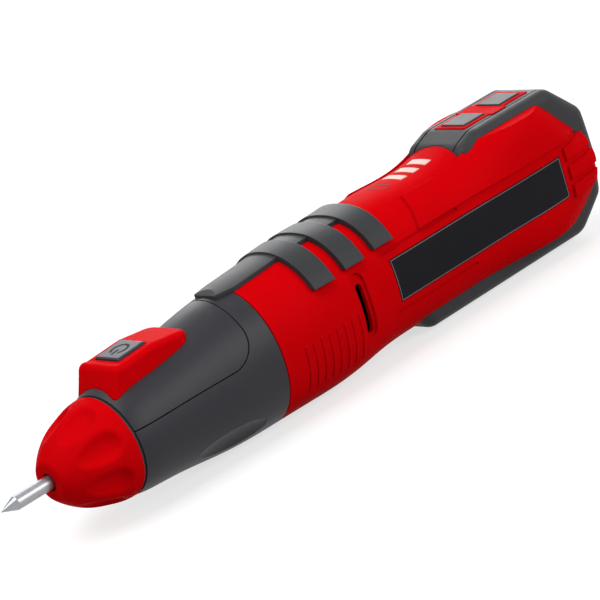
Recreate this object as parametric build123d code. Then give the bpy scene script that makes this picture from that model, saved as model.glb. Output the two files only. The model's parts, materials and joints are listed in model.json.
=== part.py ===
from build123d import *
from collections import namedtuple
from functools import cache
from math import atan, cos, degrees, pi, radians, sin, tan
import os

# Cordless engraver: a motor turns a slanted face cam, which knocks a sprung plunger and its needle forward.
# Lengths are millimetres. Pieces are made with X from the needle's point to the tail, the label side at -Y
# and Z = 0 on the needle's axis. They are then lifted so that the tool lies on Z = 0, its middle at X = 0.

# Lengths along the tool, from the needle's point to the tail
NEEDLE_STICKOUT = 17.0
NOSE_LENGTH = 20.5
GRIP_LENGTH = 51.0
BANDED_LENGTH = 52.0
LIGHTS_LENGTH = 33.2
BUMP_LENGTH = 55.0

# Clearances
RUNNING_FIT = 0.05
SEAT_FIT = 0.03
MOVING_GAP = 0.3
FACE_GAP = 0.1
SEAM_GAP = 0.35
CUT_OVERRUN = 1.0
REACH = 60.0

# Walls of the casings
GRIP_WALL = 2.4
BODY_WALL = 2.2
BULKHEAD = 2.5

# Outer form: how far back each section lies, then its half width, top, depth and squareness
ROUND = 2.0
NOSE_RADIUS = 15.0
BROW_BACK = 7.0
BROW_HALF_WIDTH = 15.8
BROW_TOP = 17.2
BROW_DEPTH = 15.9
WAIST_BACK = 21.5
WAIST_HALF_WIDTH = 16.3
WAIST_TOP = 18.8
WAIST_DEPTH = 17.2
SHOULDER_BACK = 39.5
SHOULDER_HALF_WIDTH = 17.5
SHOULDER_TOP = 21.8
SHOULDER_DEPTH = 19.0
COLLAR_HALF_WIDTH = 18.2
COLLAR_TOP = 22.8
COLLAR_POWER = 2.05
BELLY_BACK = 11.2
BELLY_DEPTH = 19.1
BELLY_HALF_WIDTH = 18.8
BELLY_TOP = 23.4
BELLY_POWER = 2.1
BANDS_BACK = 35.2
BANDS_TOP = 24.1
BANDS_DEPTH = 17.5
BODY_POWER = 2.35
NECK_AHEAD = 3.8
BODY_HALF_WIDTH = 18.6
NECK_TOP = 24.3
BODY_DEPTH = 16.3
LIGHTS_BACK = 13.2
LIGHTS_TOP = 24.6
FOOT_AHEAD = 0.5
FOOT_TOP = 25.0
BUMP_BACK = 13.0
BUMP_HULL_TOP = 28.2
REAR_POWER = 3.1
CHEEK_AHEAD = 20.0
CHEEK_HALF_WIDTH = 18.3
TAIL_HALF_WIDTH = 12.8
OUTLINE_STEPS = 12

# Needle and plunger
NEEDLE_RADIUS = 2.0
POINT_LENGTH = 5.0
POINT_TIP_RADIUS = 0.12
NEEDLE_GRIP_LENGTH = 16.0
PLUNGER_RADIUS = 4.0
PLUNGER_SETBACK = 4.5
SET_SCREW_RADIUS = 1.5
SET_SCREW_BACK = 4.0
SET_SCREW_LENGTH = 2.5
COLLAR_RADIUS = 6.3
COLLAR_THICKNESS = 2.6
TAIL_FLAT = 3.2
NIB_RADIUS = 1.1
NIB_OFFSET = 2.8
NIB_LENGTH = 1.6
SPRING_WIRE = 1.0
SPRING_TURNS = 9

# Nose cap
NOSE_HOLE_RADIUS = 2.6
NOSE_TIP_RADIUS = 5.4
NOSE_MID_BACK = 8.5
NOSE_MID_RADIUS = 12.0
NOSE_WALL = 2.5
NOSE_EDGE = 2.0
SCALLOPS = 8
SCALLOP_RADIUS = 6.4
SCALLOP_DEPTH = 1.1
SCALLOP_AHEAD = 9.0
SCALLOP_SLOPE = 15.0
SCALLOP_EDGE = 2.0

# Seal ring between the nose cap and the grip
SEAL_THICKNESS = 0.8
SEAL_INSET = 0.4

# Mechanism housing, its bushes and its cam
NECK_SETBACK = 12.5
NECK_RADIUS = 11.0
THREAD_GAP = 0.25
FLANGE_RADIUS = 12.0
FLANGE_THICKNESS = 2.5
BARREL_RADIUS = 9.6
BUSH_WALL = 2.5
FRONT_BUSH_LENGTH = 10.0
REAR_BUSH_LENGTH = 6.0
REAR_BUSH_WALL = 3.5
CAM_CHAMBER_RADIUS = 8.2
CAM_CHAMBER_WALL = 2.4
CAM_RADIUS = 7.2
CAM_HUB_RADIUS = 4.5
CAM_LENGTH = 9.0
CAM_DISC = 4.0
CAM_LIFT = 0.8
BUSH_TO_CAM = 4.5

# Motor
MOTOR_SETBACK = 4.5
MOTOR_RADIUS = 12.2
MOTOR_LENGTH = 34.0
CAN_WALL = 1.2
MOTOR_BOSS_RADIUS = 5.0
MOTOR_BOSS_LENGTH = 2.5
SHAFT_RADIUS = 1.5
MOTOR_BUSH_RADIUS = 3.5
BELL_LENGTH = 4.0
BELL_PLUG = 1.5
BELL_WALL = 2.0
MAGNET_THICKNESS = 2.3
MAGNET_SPAN = 130.0
AIR_GAP = 0.5
ROTOR_LENGTH = 18.0
ROTOR_FRONT_BACK = 7.0
POLES = 3
POLE_WIDTH = 4.6
POLE_SHOE = 1.6
ROTOR_HUB = 3.2
SLOT_GAP = 2.2
WINDING_OVERHANG = 2.0
COMMUTATOR_RADIUS = 2.8
COMMUTATOR_LENGTH = 4.0
BRUSH_LENGTH = 3.0
BRUSH_HEIGHT = 3.0
BRUSH_ARM_REACH = 8.0
BRUSH_ARM_THICKNESS = 0.6
TERMINAL_LENGTH = 3.0
RING_THICKNESS = 1.8
RING_WIDTH = 5.0
RING_FRONT_BACK = 2.0
RING_REAR_AHEAD = 4.0
MOTOR_SCREW_RADIUS = 1.2
MOTOR_SCREW_PITCH = 8.0
MOTOR_SCREW_HEAD = 2.1
MOTOR_SCREW_HEAD_LENGTH = 1.4
MOTOR_SCREW_LENGTH = 4.0
HOUSING_SCREWS = 3
HOUSING_SCREW_RADIUS = 0.8
HOUSING_SCREW_HEAD = 1.2
HOUSING_SCREW_HEAD_LENGTH = 1.0
PLATE_RADIUS = 13.5

# Grip: the seam round its top panel, and the finger scoop on each lower side
SEAM_FRONT_HEIGHT = 5.4
SEAM_REAR_HEIGHT = 5.9
PANEL_END_AHEAD = 7.0
PANEL_CORNER_RADIUS = 9.0
SPIGOT_LENGTH = 4.5
SPIGOT_WALL = 1.3
SPIGOT_ROOT = 4.0
SCOOP_LENGTH = 34.0
SCOOP_RADIUS = 13.0
SCOOP_SAG = 1.9
SCOOP_DEPTH = 1.1
SCOOP_BACK = 26.0
SCOOP_ANGLE = 45.0

# Switch: bezel, button, switch and board
BEZEL_FRONT_BACK = 0.4
BEZEL_LENGTH = 31.0
BEZEL_HALF_WIDTH = 8.6
BEZEL_LEAN = 4.2
BEZEL_FOOT_HEIGHT = 12.4
BEZEL_FRONT_HEIGHT = 21.8
BEZEL_RIDGE_BACK = 19.0
BEZEL_RIDGE_HEIGHT = 21.9
BEZEL_REAR_HEIGHT = 20.5
BEZEL_CORNER = 3.8
BEZEL_EDGE = 1.8
BEZEL_LIP = 2.2
BEZEL_LIP_LENGTH = 2.6
BEZEL_DIP_HEIGHT = 21.2
BUTTON_BACK = 8.6
BUTTON_LENGTH = 10.0
BUTTON_HALF_WIDTH = 5.0
BUTTON_PROUD = 0.7
BUTTON_TRAVEL = 1.2
BUTTON_FLANGE = 0.8
BUTTON_FLANGE_THICKNESS = 1.2
BUTTON_EDGE = 0.5
BUTTON_CAP_HEIGHT = 19.3
SWITCH_SIZE = 7.0
SWITCH_HEIGHT = 3.4
SWITCH_PLUNGER_RADIUS = 1.5
BOARD_THICKNESS = 1.2
SWITCH_BOARD_LENGTH = 17.0
SWITCH_BOARD_HALF_WIDTH = 6.3
SWITCH_BOARD_HEIGHT = 10.3
POST_RADIUS = 1.3
POST_INSET = 2.0

# Grip bands: a spine with three bands across it
SPINE_AHEAD = 5.2
SPINE_HALF_WIDTH = 6.0
SPINE_NOSE_HALF_WIDTH = 4.4
SPINE_NOSE_LENGTH = 6.0
SPINE_NOSE_DROP = 1.4
SPINE_RISE = 1.2
BAND_RISE = 1.8
BANDS = 3
BAND_WIDTH = 7.5
BAND_PITCH = 12.2
BAND_BACK = 17.6
BAND_END_HEIGHT = 14.6
BAND_END_RISE = 0.6

# Side details of the body
VENT_BACK = 32.6
VENT_WIDTH = 2.4
VENT_LOW = -5.6
VENT_HIGH = 9.4
VENT_RECESS_WIDTH = 4.6
VENT_RECESS_TOP = 12.6
VENT_RECESS_DEPTH = 0.8
FINE_RIBS = 8
FINE_RIB_WIDTH = 1.0
FINE_RIB_PITCH = 3.0
FINE_RIB_RISE = 0.25
FINE_RIB_BACK = 7.5
FINE_RIB_LOW = -11.5
FINE_RIB_HIGH = 2.0
LABEL_AHEAD = 6.0
LABEL_LENGTH = 72.8
LABEL_LOW = -2.0
LABEL_HEIGHT = 12.4
LABEL_THICKNESS = 0.5
LABEL_BORDER = 0.3
GROOVE_WIDTH = 0.9
GROOVE_DEPTH = 0.5
GROOVE_OFFSET = 2.2
UPPER_GROOVE_LENGTH = 30.0
LOWER_GROOVE_LENGTH = 32.0
CHEEK_RISE = 0.9
CHEEK_FRONT_BACK = 8.0
CHEEK_FRONT_LEAN = 4.0
CHEEK_INNER = 11.0
CHEEK_LOW = 14.0
TAIL_RIBS = 3
TAIL_RIB_HEIGHT = 4.0
TAIL_RIB_PITCH = 5.8
TAIL_RIB_LOW = -3.3
TAIL_RIB_RISE = 0.9
TAIL_RIB_AHEAD = 19.0

# Tail: outline of the red shell, and of the bumper round it
STRIP_FRONT_BACK = 2.6
STRIP_LIP = 1.6
SHELL_TOP = 26.2
SHELL_TOP_BACK = 4.6
SHELL_TOP_AHEAD = 11.0
SHELL_BOTTOM = -12.2
SHELL_LOW = -4.5
SHELL_LOW_AHEAD = 6.8
SHELL_BOTTOM_AHEAD = 13.0
BUMPER_REAR = 5.0
BUMPER_HALF_WIDTH = 12.9
BUMPER_TOP_LEAN = 0.6
BUMPER_LEAN = 2.6
BUMPER_EDGE = 3.8
BUMP_TOP = 28.5
BUMPER_BOTTOM = 18.2
BUMP_LIP_HEIGHT = 25.6
BUMP_LIP_BACK = 3.6
BUMP_LEAN = 1.8
BUMP_CREST_BACK = 11.8
BEAD_GROOVE_WIDTH = 0.6
BEAD_GROOVE_DEPTH = 0.45
TAIL_TOP_AHEAD = 11.5
TAIL_HIGH = 18.0
TAIL_HIGH_AHEAD = 0.7
TAIL_LOW = -9.0
TAIL_LOW_AHEAD = 1.2
TAIL_BOTTOM_AHEAD = 11.5
STRIP_SLOPE = 6.0
TAIL_ROUND = 5.0
FOOT_ROUND = 7.0

# Pads on top of the bump
FRAME_BACK = 12.3
FRAME_LENGTH = 27.8
FRAME_HALF_WIDTH = 6.3
FRAME_BAR_HALF_WIDTH = 7.7
FRAME_BAR_LENGTH = 6.0
FRAME_RIM = 1.4
FRAME_DEPTH = 1.2
FRAME_PROUD = 0.3
PAD_PROUD = 0.7
PAD_GAP = 0.15
PAD_ROUND = 0.8

# Indicator lights and control board
BARS = 3
BAR_BACK = 20.0
BAR_PITCH = 5.2
BAR_LENGTH = 2.8
BAR_HALF_WIDTH = 3.9
BAR_PROUD = 0.12
GUIDE_LOW = 20.2
GUIDE_THICKNESS = 1.0
GUIDE_MARGIN = 1.2
CHIP_LENGTH = 1.6
CHIP_WIDTH = 3.2
CHIP_HEIGHT = 1.0
CONTROL_FRONT_BACK = 5.8
CONTROL_LENGTH = 33.0
CONTROL_HALF_WIDTH = 8.5
CONTROL_HEIGHT = 17.4

# Battery
BATTERY_RADIUS = 9.2
BATTERY_LENGTH = 65.0
BATTERY_HEIGHT = 3.5
BATTERY_BACK = 6.5
BATTERY_EDGE = 0.8
CRADLE_FIT = 0.15
CRADLE_FRONT_BACK = 13.5
CRADLE_REAR_BACK = 41.5
TAB_THICKNESS = 0.35
TAB_WIDTH = 7.0
TAB_LENGTH = 14.0
STOP_WINDOW_RADIUS = 4.0

# Charging socket
CHARGE_BOARD_LENGTH = 16.0
CHARGE_BOARD_HALF_WIDTH = 7.0
CHARGE_BOARD_HEIGHT = 5.4
CHARGE_BOARD_INSET = 2.5
CHARGE_CLIP_PITCH = 7.0
SOCKET_LENGTH = 7.3
SOCKET_HALF_WIDTH = 4.47
SOCKET_HEIGHT = 3.2
SOCKET_WALL = 0.35
SOCKET_TONGUE = 0.7
SOCKET_FLOOR = 1.5
SOCKET_INSET = 0.8
PLUG_HALF_WIDTH = 6.4
PLUG_HALF_HEIGHT = 3.7

# Screws that hold the two half shells
SCREW_RADIUS = 1.1
SCREW_HEAD_RADIUS = 2.0
SCREW_HEAD_HEIGHT = 1.8
SCREW_SEAT = 5.0
SCREW_LENGTH = 13.0
BOSS_RADIUS = 3.2

# Stations worked out from the lengths
NOSE_FRONT = NEEDLE_STICKOUT
NOSE_REAR = NOSE_FRONT + NOSE_LENGTH
GRIP_FRONT = NOSE_REAR + SEAL_THICKNESS + 2 * FACE_GAP
GRIP_REAR = GRIP_FRONT + GRIP_LENGTH
BODY_FRONT = GRIP_REAR + SEAM_GAP
LIGHTS_FRONT = BODY_FRONT + BANDED_LENGTH
BUMP_FRONT = LIGHTS_FRONT + LIGHTS_LENGTH
TAIL_END = BUMP_FRONT + BUMP_LENGTH

# Stations of the mechanism, forward from the motor and back from the nose
NECK_FRONT = NOSE_FRONT + NECK_SETBACK
FRONT_BUSH_REAR = NECK_FRONT + FRONT_BUSH_LENGTH
FLANGE_FRONT = GRIP_FRONT + BULKHEAD + FACE_GAP
MOTOR_FRONT = GRIP_REAR + MOTOR_SETBACK
MOTOR_REAR = MOTOR_FRONT + MOTOR_LENGTH
CAN_REAR = MOTOR_REAR - BELL_LENGTH
HOUSING_REAR = MOTOR_FRONT - MOTOR_BOSS_LENGTH
CAM_REAR = HOUSING_REAR - 2 * MOVING_GAP
CAM_FRONT = CAM_REAR - CAM_LENGTH
REAR_BUSH_REAR = CAM_FRONT - BUSH_TO_CAM
REAR_BUSH_FRONT = REAR_BUSH_REAR - REAR_BUSH_LENGTH
COLLAR_REAR = REAR_BUSH_FRONT - MOVING_GAP
COLLAR_FRONT = COLLAR_REAR - COLLAR_THICKNESS
PLUNGER_FRONT = NOSE_FRONT + PLUNGER_SETBACK
CAM_SLOPE = CAM_LIFT / (2 * NIB_OFFSET)
NIB_REAR = CAM_FRONT - CAM_SLOPE * (NIB_OFFSET + NIB_RADIUS) - MOVING_GAP
PLUNGER_REAR = NIB_REAR - NIB_LENGTH
ROTOR_FRONT = MOTOR_FRONT + ROTOR_FRONT_BACK
ROTOR_REAR = ROTOR_FRONT + ROTOR_LENGTH
MAGNET_OUTER = MOTOR_RADIUS - CAN_WALL - SEAT_FIT
MAGNET_INNER = MAGNET_OUTER - MAGNET_THICKNESS
ROTOR_RADIUS = MAGNET_INNER - AIR_GAP
COMMUTATOR_FRONT = ROTOR_REAR + WINDING_OVERHANG + MOVING_GAP
BATTERY_FRONT = MOTOR_REAR + BATTERY_BACK
BATTERY_REAR = BATTERY_FRONT + BATTERY_LENGTH
CRADLE_FRONT = BATTERY_FRONT + CRADLE_FRONT_BACK
CRADLE_REAR = BATTERY_FRONT + CRADLE_REAR_BACK
SOCKET_REAR = TAIL_END - BUMPER_REAR - SOCKET_INSET
CHARGE_BOARD_REAR = SOCKET_REAR - CHARGE_BOARD_INSET
SOCKET_LOW = CHARGE_BOARD_HEIGHT + BOARD_THICKNESS

# Where the shell screws stand: station and height
SCREW_SPOTS = [
    (BODY_FRONT + 13.7, 18.2),
    (MOTOR_REAR + 3.0, -11.5),
    (LIGHTS_FRONT + 2.2, 19.0),
    (BATTERY_FRONT + 29.5, -9.2),
    (BATTERY_REAR + 5.0, 17.5),
    (BATTERY_REAR + 5.0, -8.0),
]

Section = namedtuple("Section", "station half_width top depth power")

HULL = [
    Section(GRIP_FRONT, NOSE_RADIUS, NOSE_RADIUS, NOSE_RADIUS, ROUND),
    Section(GRIP_FRONT + BROW_BACK, BROW_HALF_WIDTH, BROW_TOP, BROW_DEPTH, ROUND),
    Section(GRIP_FRONT + WAIST_BACK, WAIST_HALF_WIDTH, WAIST_TOP, WAIST_DEPTH, ROUND),
    Section(GRIP_FRONT + SHOULDER_BACK, SHOULDER_HALF_WIDTH, SHOULDER_TOP, SHOULDER_DEPTH, ROUND),
    Section(GRIP_REAR, COLLAR_HALF_WIDTH, COLLAR_TOP, BELLY_DEPTH, COLLAR_POWER),
    Section(BODY_FRONT + BELLY_BACK, BELLY_HALF_WIDTH, BELLY_TOP, BELLY_DEPTH, BELLY_POWER),
    Section(BODY_FRONT + BANDS_BACK, BELLY_HALF_WIDTH, BANDS_TOP, BANDS_DEPTH, BODY_POWER),
    Section(LIGHTS_FRONT - NECK_AHEAD, BODY_HALF_WIDTH, NECK_TOP, BODY_DEPTH, BODY_POWER),
    Section(LIGHTS_FRONT + LIGHTS_BACK, BODY_HALF_WIDTH, LIGHTS_TOP, BODY_DEPTH, BODY_POWER),
    Section(BUMP_FRONT - FOOT_AHEAD, BODY_HALF_WIDTH, FOOT_TOP, BODY_DEPTH, BODY_POWER),
    Section(BUMP_FRONT + BUMP_BACK, BODY_HALF_WIDTH, BUMP_HULL_TOP, BODY_DEPTH, REAR_POWER),
    Section(TAIL_END - CHEEK_AHEAD, CHEEK_HALF_WIDTH, BUMP_HULL_TOP, BODY_DEPTH, REAR_POWER),
    Section(TAIL_END, TAIL_HALF_WIDTH, BUMP_HULL_TOP, BODY_DEPTH, REAR_POWER),
]


def half_outline(side, section, grow):
    """One side of a squared-off ellipse across the tool, from its lowest point to its top."""
    half_width = section.half_width + grow
    middle = (section.top - section.depth) / 2
    reach = (section.top + section.depth) / 2 + grow
    points = []
    for step in range(OUTLINE_STEPS + 1):
        angle = pi * (step / OUTLINE_STEPS - 0.5)
        sides = abs(cos(angle)) ** section.power + abs(sin(angle)) ** section.power
        stretch = sides ** (-1 / section.power)
        across = side * half_width * stretch * cos(angle)
        points.append((section.station, across, middle + reach * stretch * sin(angle)))
    return Spline(*points, tangents=((0, side, 0), (0, -side, 0)), tangent_scalars=(1, 1))


@cache
def hull(grow):
    """Outer form of the grip and the body, grown or shrunk all round."""
    sections = []
    for section in HULL:
        outline = Wire([half_outline(side, section, grow) for side in (1, -1)])
        sections.append(Face(outline))
    return loft(sections)


def slab(front, rear):
    """All space between two stations."""
    return Pos((front + rear) / 2, 0, 0) * Box(rear - front, 2 * REACH, 2 * REACH)


def block(front, rear, left, right, low, high):
    """Box from its limits along X, Y and Z."""
    middle = Pos((front + rear) / 2, (left + right) / 2, (low + high) / 2)
    return middle * Box(rear - front, right - left, high - low)


def side_face(corners, radius):
    """Face in the mid plane from (station, height) corners, each rounded by its own radius."""
    return Plane.XZ * make_face(FilletPolyline(*corners, radius=radius, close=True))


def side_prism(face, half_width):
    """A mid-plane face spread to both sides."""
    return extrude(face, half_width, both=True)


def turned(*corners):
    """Solid turned about the needle's axis from (station, radius) corners."""
    return revolve(make_face(Polyline(*corners, close=True)), Axis.X)


def tube(front, rear, outer, inner):
    """Ring about the needle's axis."""
    return turned((front, inner), (rear, inner), (rear, outer), (front, outer))


def rod(front, rear, radius):
    """Cylinder on the needle's axis."""
    return turned((front, 0), (rear, 0), (rear, radius), (front, radius))


def barrel(length, radius, sag):
    """Bulged roller along X, used to scoop out soft dents."""
    half = length / 2
    ends = (-half, radius - sag), (half, radius - sag)
    outline = Polyline(ends[1], (half, 0), (-half, 0), ends[0]) + ThreePointArc(ends[0], (0, radius), ends[1])
    return revolve(make_face(outline), Axis.X)


def cross_pin(station, height, left, right, radius):
    """Cylinder across the tool."""
    turn = Pos(station, (left + right) / 2, height) * Rot(90, 0, 0)
    return turn * Cylinder(radius, right - left)


def along_pin(front, rear, across, height, radius):
    """Cylinder along the tool, off its axis."""
    return Pos((front + rear) / 2, across, height) * Rot(0, 90, 0) * Cylinder(radius, rear - front)


def joined(pieces):
    """Union of a list of pieces."""
    whole = pieces[0]
    for piece in pieces[1:]:
        whole += piece
    return whole


def both_sides(piece):
    """A piece and its mirror image across the mid plane."""
    return piece + mirror(piece, Plane.XZ)


# Needle, plunger and their spring


def carbide_point():
    cone = Cone(NEEDLE_RADIUS, POINT_TIP_RADIUS, POINT_LENGTH)
    return Pos(POINT_LENGTH / 2, 0, 0) * Rot(0, -90, 0) * cone


def engraving_needle():
    return rod(POINT_LENGTH, PLUNGER_FRONT + NEEDLE_GRIP_LENGTH, NEEDLE_RADIUS)


def needle_set_screw():
    low = NEEDLE_RADIUS + SEAT_FIT
    place = Pos(PLUNGER_FRONT + SET_SCREW_BACK, 0, low + SET_SCREW_LENGTH / 2)
    return place * Cylinder(SET_SCREW_RADIUS, SET_SCREW_LENGTH)


def tail_flat(clearance):
    """Space above the flat that keeps the plunger from turning in its rear bush."""
    return block(COLLAR_REAR, CAM_REAR, -REACH, REACH, TAIL_FLAT + clearance, REACH)


def plunger():
    body = rod(PLUNGER_FRONT, PLUNGER_REAR, PLUNGER_RADIUS)
    body += rod(COLLAR_FRONT, COLLAR_REAR, COLLAR_RADIUS)
    body -= tail_flat(0)
    body += along_pin(PLUNGER_REAR - NIB_LENGTH, NIB_REAR, 0, -NIB_OFFSET, NIB_RADIUS)
    needle_hole = NEEDLE_RADIUS + SEAT_FIT
    body -= rod(PLUNGER_FRONT - CUT_OVERRUN, PLUNGER_FRONT + NEEDLE_GRIP_LENGTH + FACE_GAP, needle_hole)
    screw_hole = Pos(PLUNGER_FRONT + SET_SCREW_BACK, 0, PLUNGER_RADIUS)
    return body - screw_hole * Cylinder(SET_SCREW_RADIUS + SEAT_FIT, 2 * PLUNGER_RADIUS - NEEDLE_RADIUS)


def return_spring():
    front = FRONT_BUSH_REAR + SPRING_WIRE / 2 + FACE_GAP
    length = COLLAR_FRONT - SPRING_WIRE / 2 - FACE_GAP - front
    radius = COLLAR_RADIUS - SPRING_WIRE / 2
    path = Helix(length / SPRING_TURNS, length, radius, center=(front, 0, 0), direction=(1, 0, 0))
    wire = Plane(origin=path @ 0, z_dir=path % 0) * Circle(SPRING_WIRE / 2)
    return sweep(wire, path, is_frenet=True)


# Nose cap and seal ring


def nose_cap():
    thread = NECK_RADIUS + THREAD_GAP
    thread_front = NECK_FRONT - MOVING_GAP * 2
    outer = ThreePointArc(
        (NOSE_FRONT, NOSE_TIP_RADIUS),
        (NOSE_FRONT + NOSE_MID_BACK, NOSE_MID_RADIUS),
        (NOSE_REAR, NOSE_RADIUS),
    )
    inner = Polyline(
        (NOSE_REAR, NOSE_RADIUS),
        (NOSE_REAR, thread),
        (thread_front, thread),
        (thread_front, thread - NOSE_WALL / 2),
        (NOSE_FRONT + NOSE_WALL, NOSE_TIP_RADIUS - NOSE_WALL / 2),
        (NOSE_FRONT + NOSE_WALL, NOSE_HOLE_RADIUS),
        (NOSE_FRONT, NOSE_HOLE_RADIUS),
        (NOSE_FRONT, NOSE_TIP_RADIUS),
    )
    cap = revolve(make_face(outer + inner), Axis.X)
    rim = cap.edges().filter_by(GeomType.CIRCLE).group_by(Axis.X)[0].sort_by(SortBy.RADIUS)[-1]
    cap = fillet(rim, NOSE_EDGE)
    surface = NOSE_RADIUS - SCALLOP_AHEAD * (NOSE_RADIUS - NOSE_MID_RADIUS) / (NOSE_LENGTH - NOSE_MID_BACK)
    roller = rod(-NOSE_LENGTH, 0, SCALLOP_RADIUS) + Sphere(SCALLOP_RADIUS)
    place = Pos(NOSE_REAR - SCALLOP_AHEAD, 0, surface + SCALLOP_RADIUS - SCALLOP_DEPTH)
    dent = place * Rot(0, -SCALLOP_SLOPE, 0) * roller
    dents = [Rot(360 * (turn + 0.5) / SCALLOPS, 0, 0) * dent for turn in range(SCALLOPS)]
    dented = cap - dents
    return fillet(new_edges(cap, *dents, combined=dented), SCALLOP_EDGE)


def nose_seal_ring():
    front = NOSE_REAR + FACE_GAP
    return tube(front, front + SEAL_THICKNESS, NOSE_RADIUS - SEAL_INSET, NECK_RADIUS + THREAD_GAP)


# Mechanism housing, bushes and cam


def mechanism_housing():
    chamber = CAM_CHAMBER_RADIUS + CAM_CHAMBER_WALL
    chamber_front = REAR_BUSH_REAR - CAM_CHAMBER_WALL
    flange_rear = FLANGE_FRONT + FLANGE_THICKNESS
    body = rod(NECK_FRONT, FLANGE_FRONT, NECK_RADIUS)
    body += rod(FLANGE_FRONT, flange_rear, FLANGE_RADIUS)
    body += rod(flange_rear, HOUSING_REAR, BARREL_RADIUS)
    body += rod(chamber_front, HOUSING_REAR, chamber)
    body += rod(HOUSING_REAR - FLANGE_THICKNESS, HOUSING_REAR, PLATE_RADIUS)
    body -= rod(NECK_FRONT - CUT_OVERRUN, FRONT_BUSH_REAR, PLUNGER_RADIUS + BUSH_WALL + SEAT_FIT)
    body -= rod(FRONT_BUSH_REAR, REAR_BUSH_FRONT, COLLAR_RADIUS + 2 * MOVING_GAP)
    body -= rod(REAR_BUSH_FRONT, REAR_BUSH_REAR, PLUNGER_RADIUS + REAR_BUSH_WALL + SEAT_FIT)
    body -= rod(REAR_BUSH_REAR, HOUSING_REAR + CUT_OVERRUN, CAM_CHAMBER_RADIUS)
    return body - housing_screw_set(SEAT_FIT)


def front_bush():
    return tube(NECK_FRONT, FRONT_BUSH_REAR, PLUNGER_RADIUS + BUSH_WALL, PLUNGER_RADIUS + RUNNING_FIT)


def rear_bush():
    hole = rod(REAR_BUSH_FRONT, REAR_BUSH_REAR, PLUNGER_RADIUS + RUNNING_FIT) - tail_flat(RUNNING_FIT)
    return rod(REAR_BUSH_FRONT, REAR_BUSH_REAR, PLUNGER_RADIUS + REAR_BUSH_WALL) - hole


def drive_cam():
    tip = CAM_RADIUS * CAM_SLOPE
    cam = rod(CAM_FRONT - tip - CUT_OVERRUN, CAM_FRONT + CAM_DISC, CAM_RADIUS)
    cam += rod(CAM_FRONT, CAM_REAR, CAM_HUB_RADIUS)
    slant = Pos(CAM_FRONT, 0, 0) * Rot(0, degrees(atan(CAM_SLOPE)), 0)
    cam -= slant * block(-REACH, 0, -REACH, REACH, -REACH, REACH)
    return cam - rod(CAM_FRONT + tip, CAM_REAR + CUT_OVERRUN, SHAFT_RADIUS + SEAT_FIT)


def housing_screw_set(clearance):
    """Screws from the housing's rear flange into the motor plate."""
    pitch = (CAM_CHAMBER_RADIUS + CAM_CHAMBER_WALL + PLATE_RADIUS) / 2
    head_front = HOUSING_REAR - FLANGE_THICKNESS
    shank = along_pin(head_front, MOTOR_FRONT - FACE_GAP, 0, pitch, HOUSING_SCREW_RADIUS + clearance)
    head_rear = head_front + HOUSING_SCREW_HEAD_LENGTH
    sink = clearance * CUT_OVERRUN / SEAT_FIT
    head = along_pin(head_front - sink, head_rear, 0, pitch, HOUSING_SCREW_HEAD + clearance)
    return [Rot(360 * turn / HOUSING_SCREWS, 0, 0) * (shank + head) for turn in range(HOUSING_SCREWS)]


def housing_screws():
    return Compound(housing_screw_set(0))


# Motor


def motor_screw_set(clearance):
    """Screws from the motor plate into the motor's front."""
    rear = HOUSING_REAR + MOTOR_SCREW_LENGTH
    shanks = []
    for side in (1, -1):
        across = side * MOTOR_SCREW_PITCH
        head_rear = HOUSING_REAR + MOTOR_SCREW_HEAD_LENGTH
        sink = clearance * CUT_OVERRUN / SEAT_FIT
        head = along_pin(HOUSING_REAR - sink, head_rear, across, 0, MOTOR_SCREW_HEAD + clearance)
        shanks.append(head + along_pin(HOUSING_REAR, rear, across, 0, MOTOR_SCREW_RADIUS + clearance))
    return shanks


def motor_screws():
    return Compound(motor_screw_set(0))


def motor_plate():
    plate = tube(HOUSING_REAR, MOTOR_FRONT, PLATE_RADIUS, MOTOR_BOSS_RADIUS + FACE_GAP)
    return plate - motor_screw_set(SEAT_FIT) - housing_screw_set(SEAT_FIT)


def motor_can():
    can = rod(MOTOR_FRONT, CAN_REAR, MOTOR_RADIUS)
    can -= rod(MOTOR_FRONT + CAN_WALL, CAN_REAR + CUT_OVERRUN, MOTOR_RADIUS - CAN_WALL)
    can += rod(HOUSING_REAR, MOTOR_FRONT + CAN_WALL, MOTOR_BOSS_RADIUS)
    can -= rod(HOUSING_REAR - CUT_OVERRUN, MOTOR_FRONT + 2 * CAN_WALL, MOTOR_BUSH_RADIUS + SEAT_FIT)
    return can - motor_screw_set(SEAT_FIT)


def motor_front_bush():
    rear = MOTOR_FRONT + CAN_WALL
    return tube(HOUSING_REAR, rear, MOTOR_BUSH_RADIUS, SHAFT_RADIUS + RUNNING_FIT)


def brush_arm_set(clearance):
    """Two spring arms that carry the brushes and run out of the end bell as terminals."""
    front = COMMUTATOR_FRONT
    arms = []
    for side in (1, -1):
        near = BRUSH_ARM_REACH - clearance
        far = BRUSH_ARM_REACH + BRUSH_ARM_THICKNESS + clearance
        half = BRUSH_HEIGHT / 2 + clearance
        limits = sorted((side * near, side * far))
        arms.append(block(front, MOTOR_REAR + TERMINAL_LENGTH, *limits, -half, half))
    return arms


def brush_arms():
    return Compound(brush_arm_set(0))


def motor_brushes():
    brushes = []
    for side in (1, -1):
        limits = sorted((side * COMMUTATOR_RADIUS, side * BRUSH_ARM_REACH))
        front = COMMUTATOR_FRONT + (COMMUTATOR_LENGTH - BRUSH_LENGTH) / 2
        brush = block(front, front + BRUSH_LENGTH, *limits, -BRUSH_HEIGHT / 2, BRUSH_HEIGHT / 2)
        brushes.append(brush - rod(COMMUTATOR_FRONT, MOTOR_REAR, COMMUTATOR_RADIUS + RUNNING_FIT))
    return Compound([brush.solids()[0] for brush in brushes])


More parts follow.
